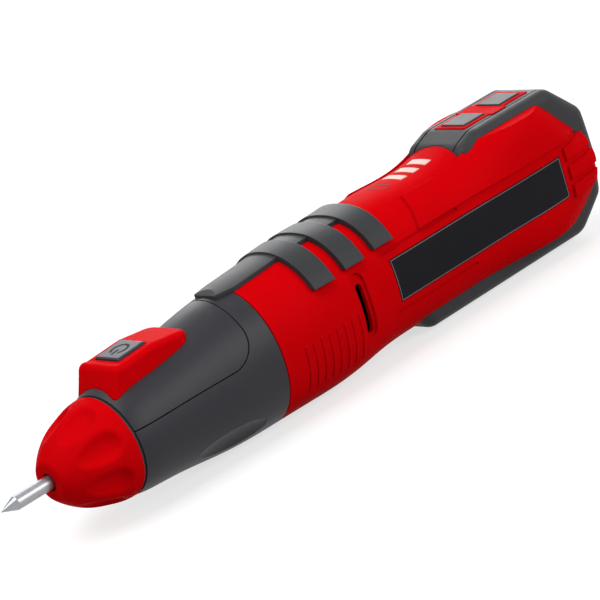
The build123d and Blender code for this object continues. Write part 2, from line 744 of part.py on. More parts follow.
def motor_end_bell():
    bell = rod(CAN_REAR, MOTOR_REAR, MOTOR_RADIUS)
    bell += rod(CAN_REAR - BELL_PLUG, CAN_REAR, MOTOR_RADIUS - CAN_WALL - SEAT_FIT)
    bell -= rod(CAN_REAR - BELL_PLUG - CUT_OVERRUN, MOTOR_REAR - BELL_WALL, MOTOR_RADIUS - 2 * CAN_WALL)
    bell += rod(MOTOR_REAR - BELL_WALL, MOTOR_REAR + BELL_PLUG, MOTOR_BUSH_RADIUS + BELL_WALL)
    bell -= rod(MOTOR_REAR - BELL_WALL - CUT_OVERRUN, MOTOR_REAR + BELL_WALL, MOTOR_BUSH_RADIUS + SEAT_FIT)
    return bell - brush_arm_set(SEAT_FIT)


def motor_rear_bush():
    front = MOTOR_REAR - BELL_WALL
    return tube(front, MOTOR_REAR + BELL_PLUG, MOTOR_BUSH_RADIUS, SHAFT_RADIUS + RUNNING_FIT)


def motor_magnets():
    ring = tube(ROTOR_FRONT - WINDING_OVERHANG, ROTOR_REAR + WINDING_OVERHANG, MAGNET_OUTER, MAGNET_INNER)
    gap = 180 - MAGNET_SPAN
    for side in (0, 180):
        for turn in (-gap / 4, 0, gap / 4):
            half = MAGNET_OUTER * tan(radians(gap / 4))
            cut = block(0, TAIL_END, -half, half, 0, REACH)
            ring -= Rot(side + turn, 0, 0) * cut
    return ring


def rotor_arms(grow):
    """The rotor's hub and wound arms, without the curved shoes at their ends."""
    arm = block(ROTOR_FRONT, ROTOR_REAR, -POLE_WIDTH / 2 - grow, POLE_WIDTH / 2 + grow, 0, ROTOR_RADIUS)
    arms = [Rot(360 * turn / POLES, 0, 0) * arm for turn in range(POLES)]
    return joined(arms) & rod(ROTOR_FRONT, ROTOR_REAR, ROTOR_RADIUS)


def rotor_core():
    core = rotor_arms(0) + rod(ROTOR_FRONT, ROTOR_REAR, ROTOR_HUB)
    shoes = tube(ROTOR_FRONT, ROTOR_REAR, ROTOR_RADIUS, ROTOR_RADIUS - POLE_SHOE)
    for turn in range(POLES):
        slot = block(0, TAIL_END, -SLOT_GAP / 2, SLOT_GAP / 2, -REACH, 0)
        shoes -= Rot(360 * turn / POLES, 0, 0) * slot
    core += shoes
    return core - rod(0, TAIL_END, SHAFT_RADIUS + SEAT_FIT)


def rotor_windings():
    front = ROTOR_FRONT - WINDING_OVERHANG
    rear = ROTOR_REAR + WINDING_OVERHANG
    outer = ROTOR_RADIUS - POLE_SHOE - SEAT_FIT
    inner = ROTOR_HUB + SEAT_FIT
    half = POLE_WIDTH / 2
    coil = block(front, rear, -outer, outer, inner, outer)
    coil -= block(ROTOR_FRONT - SEAT_FIT, ROTOR_REAR + SEAT_FIT, -half - SEAT_FIT, half + SEAT_FIT, 0, REACH)
    wedge = block(0, TAIL_END, -REACH, 0, 0, REACH)
    for side in (1, -1):
        lean = Rot(side * 180 / POLES, 0, 0) * (wedge if side > 0 else mirror(wedge, Plane.XZ))
        coil -= Pos(0, side * -SEAT_FIT, 0) * lean
    coil &= tube(front, rear, outer, inner)
    return Compound([Rot(360 * turn / POLES, 0, 0) * coil for turn in range(POLES)])


def commutator():
    rear = COMMUTATOR_FRONT + COMMUTATOR_LENGTH
    return tube(COMMUTATOR_FRONT, rear, COMMUTATOR_RADIUS, SHAFT_RADIUS + SEAT_FIT)


def motor_shaft():
    front = CAM_FRONT + CAM_RADIUS * CAM_SLOPE + FACE_GAP
    return rod(front, MOTOR_REAR + BELL_PLUG - MOVING_GAP, SHAFT_RADIUS)


def ring_fronts():
    """Stations where the two rubber rings round the motor start."""
    return MOTOR_FRONT + RING_FRONT_BACK, CAN_REAR - RING_REAR_AHEAD - RING_WIDTH


def motor_rings():
    inner = MOTOR_RADIUS + SEAT_FIT
    return Compound([tube(at, at + RING_WIDTH, inner + RING_THICKNESS, inner) for at in ring_fronts()])


# Grip shells


def panel_zone(gap):
    """Space of the U-shaped top panel, spread by the seam's gap."""
    end = GRIP_REAR - PANEL_END_AHEAD
    corners = [
        (GRIP_FRONT - CUT_OVERRUN, SEAM_FRONT_HEIGHT),
        (end, SEAM_REAR_HEIGHT),
        (end, REACH),
        (GRIP_FRONT - CUT_OVERRUN, REACH),
    ]
    face = side_face(corners, [0, PANEL_CORNER_RADIUS, 0, 0])
    return side_prism(offset(face, gap) if gap else face, REACH)


@cache
def grip_casing():
    """Both grip shells as one hollow form, with the walls that hold the mechanism."""
    root = GRIP_REAR - SPIGOT_ROOT
    flange_rear = FLANGE_FRONT + FLANGE_THICKNESS + FACE_GAP
    casing = hull(0) & slab(GRIP_FRONT, GRIP_REAR)
    casing -= hull(-GRIP_WALL) & slab(GRIP_FRONT + BULKHEAD, flange_rear)
    casing -= hull(-GRIP_WALL) & slab(flange_rear + BULKHEAD, root)
    casing -= hull(-spigot_inset()) & slab(root - CUT_OVERRUN, GRIP_REAR + CUT_OVERRUN)
    casing -= rod(flange_rear - CUT_OVERRUN, root, BARREL_RADIUS + FACE_GAP)
    return casing - rod(GRIP_FRONT - CUT_OVERRUN, FLANGE_FRONT, NECK_RADIUS + FACE_GAP)


def spigot_inset():
    """How far the inside of the spigot lies under the outer form."""
    return BODY_WALL + FACE_GAP + SPIGOT_WALL


def grip_lower_shell():
    shell = grip_casing() - panel_zone(SEAM_GAP)
    spigot = hull(-BODY_WALL - FACE_GAP) & slab(GRIP_REAR, GRIP_REAR + SPIGOT_LENGTH)
    shell += spigot - hull(-spigot_inset())
    scoop = Rot(180 - SCOOP_ANGLE, 0, 0)
    scoop *= Pos(GRIP_FRONT + SCOOP_BACK, 0, WAIST_DEPTH + SCOOP_RADIUS - SCOOP_DEPTH)
    return shell - both_sides(scoop * barrel(SCOOP_LENGTH, SCOOP_RADIUS, SCOOP_SAG))


def button_front():
    """Station of the power button's front edge."""
    return GRIP_FRONT + BUTTON_BACK


def button_middle():
    """Station of the power button's middle."""
    return button_front() + BUTTON_LENGTH / 2


def button_well():
    """Space under the bezel for the button's flange and the switch."""
    front = button_front() - BUTTON_FLANGE - MOVING_GAP
    rear = button_front() + BUTTON_LENGTH + BUTTON_FLANGE + MOVING_GAP
    half = BUTTON_HALF_WIDTH + BUTTON_FLANGE + MOVING_GAP
    return block(front, rear, -half, half, 0, BUTTON_CAP_HEIGHT - BUTTON_FLANGE / 2)


def post_spots():
    """Where the top panel's four posts meet the switch board."""
    half = SWITCH_BOARD_LENGTH / 2 - POST_INSET
    across = SWITCH_BOARD_HALF_WIDTH - POST_INSET
    return [(button_middle() + along * half, side * across) for along in (1, -1) for side in (1, -1)]


def board_slot():
    """Slot in the top panel's wall, for the front end of the switch board."""
    reach = SWITCH_BOARD_LENGTH / 2 + FACE_GAP
    half = SWITCH_BOARD_HALF_WIDTH + FACE_GAP
    limits = (button_middle() - reach, button_middle() + reach, -half, half)
    return block(*limits, SWITCH_BOARD_HEIGHT - FACE_GAP, switch_floor() + FACE_GAP)


def grip_top_panel():
    panel = grip_casing() & panel_zone(0)
    panel -= button_well()
    panel -= board_slot()
    low = switch_floor()
    posts = []
    for station, across in post_spots():
        posts.append(Pos(station, across, (low + REACH) / 2) * Cylinder(POST_RADIUS, REACH - low))
    return panel + [post & hull(-GRIP_WALL / 2) - button_well() for post in posts]


# Switch


def bezel_corners():
    """Side view of the switch bezel: leaning front, lip, ridge and rear."""
    front = GRIP_FRONT + BEZEL_FRONT_BACK
    return [
        (front, BEZEL_FOOT_HEIGHT),
        (front + BEZEL_LEAN, BEZEL_FRONT_HEIGHT),
        (front + BEZEL_LEAN + BEZEL_LIP_LENGTH, BEZEL_DIP_HEIGHT),
        (front + BEZEL_RIDGE_BACK, BEZEL_RIDGE_HEIGHT),
        (front + BEZEL_LENGTH, BEZEL_REAR_HEIGHT),
        (front + BEZEL_LENGTH, 0),
        (front, 0),
    ]


def switch_bezel():
    corners = bezel_corners()
    front = corners[0][0]
    bezel = side_prism(side_face(corners, [0, BEZEL_LIP, BEZEL_LIP, TAIL_ROUND, 0, 0, 0]), BEZEL_HALF_WIDTH)
    rear_corners = bezel.edges().filter_by(Axis.Z).group_by(Axis.X)[-1]
    bezel = fillet(rear_corners, BEZEL_CORNER)
    edges = bezel.edges().filter_by(lambda edge: edge.center().Z > BEZEL_FOOT_HEIGHT / 2)
    edges = edges.filter_by(lambda edge: abs(edge.center().Y) > BEZEL_HALF_WIDTH / 2)
    bezel = fillet(edges, BEZEL_EDGE)
    half = BUTTON_HALF_WIDTH + MOVING_GAP
    rear = button_front() + BUTTON_LENGTH + MOVING_GAP
    bezel -= block(button_front() - MOVING_GAP, rear, -half, half, 0, REACH)
    bezel -= button_well()
    bezel -= hull(0)
    return bezel & slab(front, front + BEZEL_LENGTH)


def power_button():
    front = button_front()
    rear = front + BUTTON_LENGTH
    corners = bezel_corners()
    slope = (corners[3][1] - corners[2][1]) / (corners[3][0] - corners[2][0])
    top_front = corners[2][1] + slope * (front - corners[2][0]) + BUTTON_PROUD
    top_rear = top_front + slope * BUTTON_LENGTH
    low = button_low()
    side = [(front, top_front), (rear, top_rear), (rear, low), (front, low)]
    cap = side_prism(side_face(side, [0, 0, 0, 0]), BUTTON_HALF_WIDTH)
    top = cap.faces().sort_by(Axis.Z)[-1]
    cap = fillet(top.edges(), BUTTON_EDGE)
    half = BUTTON_HALF_WIDTH + BUTTON_FLANGE
    limits = (front - BUTTON_FLANGE, rear + BUTTON_FLANGE, -half, half)
    return cap + block(*limits, low, low + BUTTON_FLANGE_THICKNESS)


def button_low():
    """Height of the button's underside at rest."""
    return BUTTON_CAP_HEIGHT - BUTTON_FLANGE_THICKNESS - MOVING_GAP * 2


def switch_floor():
    """Height of the switch board's upper face."""
    return SWITCH_BOARD_HEIGHT + BOARD_THICKNESS


def switch_plunger():
    low = switch_floor() + BUTTON_TRAVEL + 2 * MOVING_GAP
    length = button_low() - low
    return Pos(button_middle(), 0, low + length / 2) * Cylinder(SWITCH_PLUNGER_RADIUS, length)


def switch_body():
    half = SWITCH_SIZE / 2
    low = switch_floor()
    limits = (button_middle() - half, button_middle() + half, -half, half)
    body = block(*limits, low, low + SWITCH_HEIGHT)
    hole_low = low + MOVING_GAP
    hole = Pos(button_middle(), 0, (hole_low + REACH) / 2)
    return body - hole * Cylinder(SWITCH_PLUNGER_RADIUS + RUNNING_FIT, REACH - hole_low)


def switch_board():
    reach = SWITCH_BOARD_LENGTH / 2
    half = SWITCH_BOARD_HALF_WIDTH
    limits = (button_middle() - reach, button_middle() + reach, -half, half)
    return block(*limits, SWITCH_BOARD_HEIGHT, switch_floor())


# Main body: outline of the tail, bulkheads and side details


@cache
def bumper_face():
    """Side view of the bumper's outside, closed through the inside of the body."""
    strip_front = LIGHTS_FRONT + STRIP_FRONT_BACK
    corners = [
        (BUMP_FRONT + BUMP_LIP_BACK - BUMP_LEAN, TAIL_HIGH),
        (BUMP_FRONT + BUMP_LIP_BACK, BUMP_LIP_HEIGHT),
        (BUMP_FRONT + BUMP_CREST_BACK, BUMP_TOP),
        (TAIL_END - TAIL_TOP_AHEAD, BUMP_TOP),
        (TAIL_END - TAIL_HIGH_AHEAD, TAIL_HIGH),
        (TAIL_END, (TAIL_HIGH + TAIL_LOW) / 2),
        (TAIL_END - TAIL_LOW_AHEAD, TAIL_LOW),
        (TAIL_END - TAIL_BOTTOM_AHEAD, -BUMPER_BOTTOM),
        (strip_front + STRIP_SLOPE, -BUMPER_BOTTOM),
        (strip_front, SHELL_BOTTOM + STRIP_LIP),
    ]
    rounds = [0] + 4 * [TAIL_ROUND] + [0, TAIL_ROUND, FOOT_ROUND, TAIL_ROUND, 0]
    return side_face(corners, rounds)


@cache
def shell_face():
    """Side view that the red shells are trimmed to, inside the bumper."""
    strip_front = LIGHTS_FRONT + STRIP_FRONT_BACK + STRIP_LIP
    corners = [
        (BODY_FRONT - GRIP_LENGTH / 2, REACH),
        (BUMP_FRONT + SHELL_TOP_BACK, REACH),
        (BUMP_FRONT + SHELL_TOP_BACK, SHELL_TOP),
        (TAIL_END - SHELL_TOP_AHEAD, SHELL_TOP),
        (TAIL_END - TAIL_HIGH_AHEAD - BUMPER_REAR, TAIL_HIGH - BUMPER_REAR / 2),
        (TAIL_END - BUMPER_REAR, (TAIL_HIGH + TAIL_LOW) / 2),
        (TAIL_END - SHELL_LOW_AHEAD, SHELL_LOW),
        (TAIL_END - SHELL_BOTTOM_AHEAD, SHELL_BOTTOM),
        (strip_front, SHELL_BOTTOM),
        (strip_front, -REACH),
        (BODY_FRONT - GRIP_LENGTH / 2, -REACH),
    ]
    return side_face(corners, [0, 0, 0, TAIL_ROUND, TAIL_ROUND, 0, TAIL_ROUND, TAIL_ROUND, 0, 0, 0])


@cache
def body_form(grow):
    """The red body as a full solid, grown or shrunk all round."""
    face = offset(shell_face(), grow) if grow else shell_face()
    front = BODY_FRONT - max(0, -grow)
    return hull(grow) & slab(front, TAIL_END) & side_prism(face, REACH)


def side_skin(rise, depth):
    """Layer over and under the body's outer surface."""
    return hull(rise) - hull(-depth)


def left_space():
    """All space on the label side of the mid plane."""
    return block(-REACH, TAIL_END + REACH, -REACH, 0, -REACH, REACH)


def battery_rod(front, rear, radius):
    """Cylinder on the battery's axis."""
    return along_pin(front, rear, 0, BATTERY_HEIGHT, radius)


def wall_fronts():
    """Stations where the body's inner walls start."""
    inset = (RING_WIDTH - BULKHEAD) / 2
    rings = [front + inset for front in ring_fronts()]
    stop_gap = TAB_THICKNESS + 2 * FACE_GAP
    stops = [BATTERY_FRONT - stop_gap - BULKHEAD, BATTERY_REAR + stop_gap]
    clips = [CHARGE_BOARD_REAR - pitch * CHARGE_CLIP_PITCH for pitch in (1, 2)]
    return rings + stops + clips + [CRADLE_FRONT, CRADLE_REAR]


def wall_openings():
    """Openings in the inner walls for the motor's rings, the battery and the boards."""
    ring_seat = MOTOR_RADIUS + RING_THICKNESS + 2 * SEAT_FIT
    openings = [rod(front, front + RING_WIDTH, ring_seat) for front in ring_fronts()]
    window_rear = BATTERY_REAR + BATTERY_BACK
    openings.append(battery_rod(MOTOR_REAR, window_rear, STOP_WINDOW_RADIUS))
    openings.append(battery_rod(BATTERY_FRONT, BATTERY_REAR, BATTERY_RADIUS + CRADLE_FIT))
    return openings + [control_board_space(FACE_GAP), charge_board_space(FACE_GAP)]


@cache
def body_cavity():
    """Label-side hollow of the body, round its inner walls and screw posts."""
    hollow = body_form(-BODY_WALL) & left_space()
    hollow -= [slab(front, front + BULKHEAD) for front in wall_fronts()]
    return hollow - [cross_pin(*spot, -REACH, 0, BOSS_RADIUS) for spot in SCREW_SPOTS]


def vent_cuts():
    """Curved slot beside the motor, and the shallow recess round it."""
    middle = BODY_FRONT + VENT_BACK
    slot_height = (VENT_LOW + VENT_HIGH) / 2
    slot = SlotOverall(VENT_HIGH - VENT_LOW, VENT_WIDTH, rotation=90)
    through = extrude(Plane.XZ * Pos(middle, slot_height) * slot, REACH)
    recess_low = VENT_LOW - (VENT_RECESS_WIDTH - VENT_WIDTH) / 2
    recess = SlotOverall(VENT_RECESS_TOP - recess_low, VENT_RECESS_WIDTH, rotation=90)
    hollow = extrude(Plane.XZ * Pos(middle, (VENT_RECESS_TOP + recess_low) / 2) * recess, REACH)
    return through + (hollow - hull(-VENT_RECESS_DEPTH))


def label_space(margin):
    """Outline of the label, spread across the tool's left side."""
    front = LIGHTS_FRONT - LABEL_AHEAD
    limits = (front - margin, front + LABEL_LENGTH + margin, -REACH, -BODY_HALF_WIDTH / 2)
    return block(*limits, LABEL_LOW - margin, LABEL_LOW + LABEL_HEIGHT + margin)


def groove_cuts():
    """Fine grooves above and below the label."""
    front = LIGHTS_FRONT - LABEL_AHEAD
    upper = LABEL_LOW + LABEL_HEIGHT + GROOVE_OFFSET
    lower = LABEL_LOW - GROOVE_OFFSET - GROOVE_WIDTH
    lines = [
        (front - GROOVE_OFFSET, front + UPPER_GROOVE_LENGTH, upper),
        (front - GROOVE_OFFSET, front + LOWER_GROOVE_LENGTH, lower),
    ]
    cuts = [block(start, end, -REACH, -CHEEK_INNER, low, low + GROOVE_WIDTH) for start, end, low in lines]
    return joined(cuts) - hull(-GROOVE_DEPTH)


def cheek():
    """Raised upper side of the tail, with a leaning front end."""
    front = LIGHTS_FRONT + CHEEK_FRONT_BACK
    corners = [
        (front, CHEEK_LOW),
        (front + CHEEK_FRONT_LEAN, SHELL_TOP),
        (TAIL_END, SHELL_TOP),
        (TAIL_END, CHEEK_LOW),
    ]
    side = side_prism(side_face(corners, [0, 0, 0, 0]), REACH)
    side &= block(0, TAIL_END, -REACH, -CHEEK_INNER, -REACH, REACH)
    return side & hull(CHEEK_RISE) & side_prism(shell_face(), REACH)


def fine_ribs():
    """Row of fine upright ribs low on the body's side."""
    first = BODY_FRONT + FINE_RIB_BACK
    bars = []
    for turn in range(FINE_RIBS):
        front = first + turn * FINE_RIB_PITCH
        bars.append(block(front, front + FINE_RIB_WIDTH, -REACH, -CHEEK_INNER, FINE_RIB_LOW, FINE_RIB_HIGH))
    return joined(bars) & hull(FINE_RIB_RISE)


def tail_ribs():
    """Ribs along the side, from behind the label to the shell's rear edge."""
    bars = []
    for turn in range(TAIL_RIBS):
        low = TAIL_RIB_LOW + turn * TAIL_RIB_PITCH
        front = TAIL_END - TAIL_RIB_AHEAD
        bars.append(block(front, TAIL_END, -REACH, -CHEEK_INNER, low, low + TAIL_RIB_HEIGHT))
    return joined(bars) & hull(TAIL_RIB_RISE) & side_prism(shell_face(), REACH)


def bar_fronts():
    """Stations where the indicator bars start."""
    return [LIGHTS_FRONT + BAR_BACK + turn * BAR_PITCH - BAR_LENGTH / 2 for turn in range(BARS)]


def bar_blocks(margin):
    """Upright blocks of the indicator bars."""
    half = BAR_HALF_WIDTH + margin
    bars = []
    for front in bar_fronts():
        bars.append(block(front - margin, front + BAR_LENGTH + margin, -half, half, GUIDE_LOW, REACH))
    return joined(bars)


def plug_way():
    """Way through the bumper for the charging plug."""
    middle = SOCKET_LOW + SOCKET_HEIGHT / 2
    limits = (SOCKET_REAR, TAIL_END + CUT_OVERRUN, -PLUG_HALF_WIDTH, PLUG_HALF_WIDTH)
    return block(*limits, middle - PLUG_HALF_HEIGHT, middle + PLUG_HALF_HEIGHT)


def socket_space(margin):
    """Outside of the charging socket."""
    half = SOCKET_HALF_WIDTH + margin
    limits = (SOCKET_REAR - SOCKET_LENGTH, SOCKET_REAR, -half, half)
    return block(*limits, SOCKET_LOW - margin, SOCKET_LOW + SOCKET_HEIGHT + margin)


def side_details():
    """Cheek and ribs as a thin layer over the body's wall."""
    under = hull(-BODY_WALL / 2)
    return [detail - under for detail in (cheek(), fine_ribs(), tail_ribs())]


@cache
def body_half():
    """The label-side half of the red body, before its screw holes."""
    shell = body_form(0) & left_space()
    shell -= [body_cavity()] + wall_openings()
    shell += side_details()
    shell -= vent_cuts()
    shell -= groove_cuts()
    shell -= label_space(LABEL_BORDER) - hull(-LABEL_THICKNESS)
    shell -= [bar_blocks(FACE_GAP), socket_space(FACE_GAP), plug_way()]
    return shell - rod(BODY_FRONT - CUT_OVERRUN, MOTOR_REAR, MOTOR_RADIUS + FACE_GAP)


def body_shell_left():
    limits = (SCREW_SEAT - SCREW_LENGTH - FACE_GAP, SCREW_SEAT, SCREW_RADIUS + SEAT_FIT)
    return body_half() - [cross_pin(*spot, *limits) for spot in SCREW_SPOTS]


def body_shell_right():
    head_hole = SCREW_HEAD_RADIUS + 2 * FACE_GAP
    shell = mirror(body_half(), Plane.XZ)
    shell -= [cross_pin(*spot, -REACH, REACH, SCREW_RADIUS + SEAT_FIT) for spot in SCREW_SPOTS]
    return shell - [cross_pin(*spot, SCREW_SEAT, REACH, head_hole) for spot in SCREW_SPOTS]


def shell_screws():
    screws = []
    for spot in SCREW_SPOTS:
        shank = cross_pin(*spot, SCREW_SEAT - SCREW_LENGTH, SCREW_SEAT, SCREW_RADIUS)
        screws.append(shank + cross_pin(*spot, SCREW_SEAT, SCREW_SEAT + SCREW_HEAD_HEIGHT, SCREW_HEAD_RADIUS))
    return Compound(screws)


def label_plate_left():
    return label_space(0) & side_skin(0, LABEL_THICKNESS - SEAT_FIT)


def label_plate_right():
    return mirror(label_plate_left(), Plane.XZ)


# Rubber grip bands


def spine_space():
    """Plan of the spine, narrowed at its front end."""
    front = GRIP_REAR - SPINE_AHEAD
    rear = BODY_FRONT + BAND_BACK + (BANDS - 1) * BAND_PITCH + BAND_WIDTH
    half = [
        (front, 0),
        (front, SPINE_NOSE_HALF_WIDTH),
        (front + SPINE_NOSE_LENGTH, SPINE_HALF_WIDTH),
        (rear, SPINE_HALF_WIDTH),
        (rear, 0),
    ]
    return both_sides(extrude(make_face(Polyline(*half, close=True)), REACH))


def grip_bands():
    spine = spine_space() & hull(SPINE_RISE)
    front = GRIP_REAR - SPINE_AHEAD
    chamfer = side_face(
        [
            (front - CUT_OVERRUN, COLLAR_TOP + SPINE_RISE - SPINE_NOSE_DROP),
            (front + SPINE_NOSE_LENGTH, COLLAR_TOP + 2 * SPINE_RISE),
            (front - CUT_OVERRUN, REACH),
        ],
        [0, 0, 0],
    )
    spine -= side_prism(chamfer, REACH)
    bands = []
    for turn in range(BANDS):
        at = BODY_FRONT + BAND_BACK + turn * BAND_PITCH
        end = BAND_END_HEIGHT + turn * BAND_END_RISE
        bands.append(block(at, at + BAND_WIDTH, -REACH, REACH, end, REACH))
    bands = joined(bands) & hull(BAND_RISE)
    return bands + spine - hull(0)


# Bumper and pads


def frame_front():
    """Station where the pad frame starts."""
    return BUMP_FRONT + FRAME_BACK


def frame_space(margin, low, high):
    """Outline of the H-shaped pad frame, between two heights."""
    front = frame_front() - margin
    rear = frame_front() + FRAME_LENGTH + margin
    middle = frame_front() + FRAME_LENGTH / 2
    half = FRAME_HALF_WIDTH + margin
    bar = FRAME_BAR_LENGTH / 2 + margin
    bar_half = FRAME_BAR_HALF_WIDTH + margin
    crossbar = block(middle - bar, middle + bar, -bar_half, bar_half, low, high)
    return block(front, rear, -half, half, low, high) + crossbar


def pad_limits(place):
    """Stations of the front pad (0) or the rear pad (1)."""
    length = (FRAME_LENGTH - FRAME_BAR_LENGTH) / 2 - FRAME_RIM
    if place == 0:
        front = frame_front() + FRAME_RIM
    else:
        front = frame_front() + (FRAME_LENGTH + FRAME_BAR_LENGTH) / 2
    return front, front + length


def pad_block(place, margin, high):
    """One pad, from the pocket's floor up."""
    front, rear = pad_limits(place)
    half = FRAME_HALF_WIDTH - FRAME_RIM + margin
    return block(front - margin, rear + margin, -half, half, BUMP_TOP - FRAME_DEPTH, high)


def bead_grooves():
    """Fine grooves that part the rounded edges of the bump from its top."""
    skin = side_prism(bumper_face(), REACH) - side_prism(offset(bumper_face(), -BEAD_GROOVE_DEPTH), REACH)
    far = BUMPER_HALF_WIDTH - BUMPER_TOP_LEAN - BUMPER_EDGE
    groove = block(BUMP_FRONT, TAIL_END, -far, BEAD_GROOVE_WIDTH - far, TAIL_HIGH, REACH)
    return skin & both_sides(groove)


def rear_bumper():
    high = BUMP_TOP + CUT_OVERRUN
    low = -BUMPER_BOTTOM - CUT_OVERRUN
    top = BUMPER_HALF_WIDTH - BUMPER_TOP_LEAN
    foot = BUMPER_HALF_WIDTH - BUMPER_LEAN
    outline = [Line((-top, high), (top, high)), Line((-foot, low), (foot, low))]
    for side in (1, -1):
        outline.append(ThreePointArc((side * top, high), (side * BUMPER_HALF_WIDTH, 0), (side * foot, low)))
    section = extrude(Plane.YZ * make_face(outline), TAIL_END + CUT_OVERRUN)
    bumper = side_prism(bumper_face(), REACH) & section
    sides = bumper.faces().sort_by(Axis.Y)
    bumper = fillet(sides[0].edges() + sides[-1].edges(), BUMPER_EDGE)
    bumper -= body_form(0)
    bumper -= both_sides(cheek())
    bumper -= frame_space(PAD_GAP, BUMP_TOP - FRAME_DEPTH, REACH)
    bumper -= plug_way()
    bumper -= bead_grooves()
    return max(bumper.solids(), key=lambda solid: solid.volume)


def pad_frame():
    frame = frame_space(0, BUMP_TOP - FRAME_DEPTH, BUMP_TOP + FRAME_PROUD)
    return frame - [pad_block(place, 0, REACH) for place in (0, 1)]


def rear_pad(place):
    pad = pad_block(place, -PAD_GAP, BUMP_TOP + PAD_PROUD)
    return fillet(pad.faces().sort_by(Axis.Z)[-1].edges(), PAD_ROUND / 2)


def rear_pad_front():
    return rear_pad(0)


def rear_pad_rear():
    return rear_pad(1)


# Lights, boards, battery and charging socket


def indicator_window():
    bars = bar_blocks(0) & hull(BAR_PROUD)
    fronts = bar_fronts()
    half = BAR_HALF_WIDTH + GUIDE_MARGIN
    limits = (fronts[0] - GUIDE_MARGIN, fronts[-1] + BAR_LENGTH + GUIDE_MARGIN, -half, half)
    return bars + block(*limits, GUIDE_LOW, GUIDE_LOW + GUIDE_THICKNESS)


def control_board_space(margin):
    """Outline of the control board."""
    front = LIGHTS_FRONT + CONTROL_FRONT_BACK
    half = CONTROL_HALF_WIDTH + margin
    limits = (front - margin, front + CONTROL_LENGTH + margin, -half, half)
    return block(*limits, CONTROL_HEIGHT - margin, CONTROL_HEIGHT + BOARD_THICKNESS + margin)


def control_board():
    return control_board_space(0)


def indicator_lights():
    low = CONTROL_HEIGHT + BOARD_THICKNESS
    half = CHIP_WIDTH / 2
    lights = []
    for front in bar_fronts():
        start = front + (BAR_LENGTH - CHIP_LENGTH) / 2
        lights.append(block(start, start + CHIP_LENGTH, -half, half, low, low + CHIP_HEIGHT))
    return Compound(lights)


def battery_cell():
    cell = battery_rod(BATTERY_FRONT, BATTERY_REAR, BATTERY_RADIUS)
    return fillet(cell.edges().filter_by(GeomType.CIRCLE), BATTERY_EDGE)


def battery_tabs():
    tabs = []
    for front in (BATTERY_FRONT - FACE_GAP - TAB_THICKNESS, BATTERY_REAR + FACE_GAP):
        half = TAB_LENGTH / 2
        limits = (front, front + TAB_THICKNESS, -TAB_WIDTH / 2, TAB_WIDTH / 2)
        tabs.append(block(*limits, BATTERY_HEIGHT - half, BATTERY_HEIGHT + half))
    return Compound(tabs)


def charge_board_space(margin):
    """Outline of the charging board."""
    half = CHARGE_BOARD_HALF_WIDTH + margin
    limits = (CHARGE_BOARD_REAR - CHARGE_BOARD_LENGTH - margin, CHARGE_BOARD_REAR + margin, -half, half)
    return block(*limits, CHARGE_BOARD_HEIGHT - margin, SOCKET_LOW + margin)


def charge_board():
    return charge_board_space(0)


def charge_socket():
    can = fillet(socket_space(0).edges().filter_by(Axis.X), SOCKET_HEIGHT / 2 - SOCKET_WALL)
    front = SOCKET_REAR - SOCKET_LENGTH + SOCKET_FLOOR
    half = SOCKET_HALF_WIDTH - SOCKET_WALL
    high = SOCKET_LOW + SOCKET_HEIGHT - SOCKET_WALL
    mouth = block(front, SOCKET_REAR, -half, half, SOCKET_LOW + SOCKET_WALL, high)
    mouth = fillet(mouth.edges().filter_by(Axis.X), SOCKET_HEIGHT / 2 - 2 * SOCKET_WALL)
    middle = SOCKET_LOW + SOCKET_HEIGHT / 2
    tongue_half = half - 2 * SOCKET_TONGUE
    tongue_rear = SOCKET_REAR - 2 * SOCKET_WALL
    tongue_limits = (front - SOCKET_WALL, tongue_rear, -tongue_half, tongue_half)
    tongue = block(*tongue_limits, middle - SOCKET_TONGUE / 2, middle + SOCKET_TONGUE / 2)
    return can - mouth + tongue


NODES = [
    carbide_point,
    engraving_needle,
    needle_set_screw,
    plunger,
    return_spring,
    nose_cap,
    nose_seal_ring,
    mechanism_housing,
    front_bush,
    rear_bush,
    drive_cam,
    housing_screws,
    motor_screws,
    motor_plate,
    motor_can,
    motor_front_bush,
    motor_rear_bush,
    motor_end_bell,
    motor_magnets,
    motor_brushes,
    brush_arms,
    rotor_core,
    rotor_windings,
    commutator,
    motor_shaft,
    motor_rings,
    grip_lower_shell,
    grip_top_panel,
    switch_bezel,
    power_button,
    switch_plunger,
    switch_body,
    switch_board,
    body_shell_left,
    body_shell_right,
    shell_screws,
    label_plate_left,
    label_plate_right,
    grip_bands,
    rear_bumper,
    pad_frame,
    rear_pad_front,
    rear_pad_rear,
    indicator_window,
    indicator_lights,
    control_board,
    battery_cell,
    battery_tabs,
    charge_board,
    charge_socket,
]

lowest = min(hull(0).bounding_box().min.Z, -BUMPER_BOTTOM)
to_frame = Pos(-TAIL_END / 2, 0, -lowest)

os.makedirs("parts", exist_ok=True)
for node in NODES:
    export_step(to_frame * node(), f"parts/{node.__name__}.step")
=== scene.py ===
import json
from math import cos, pi, radians, sin

import bmesh
import bpy
from mathutils import Matrix, Vector
from mathutils.bvhtree import BVHTree


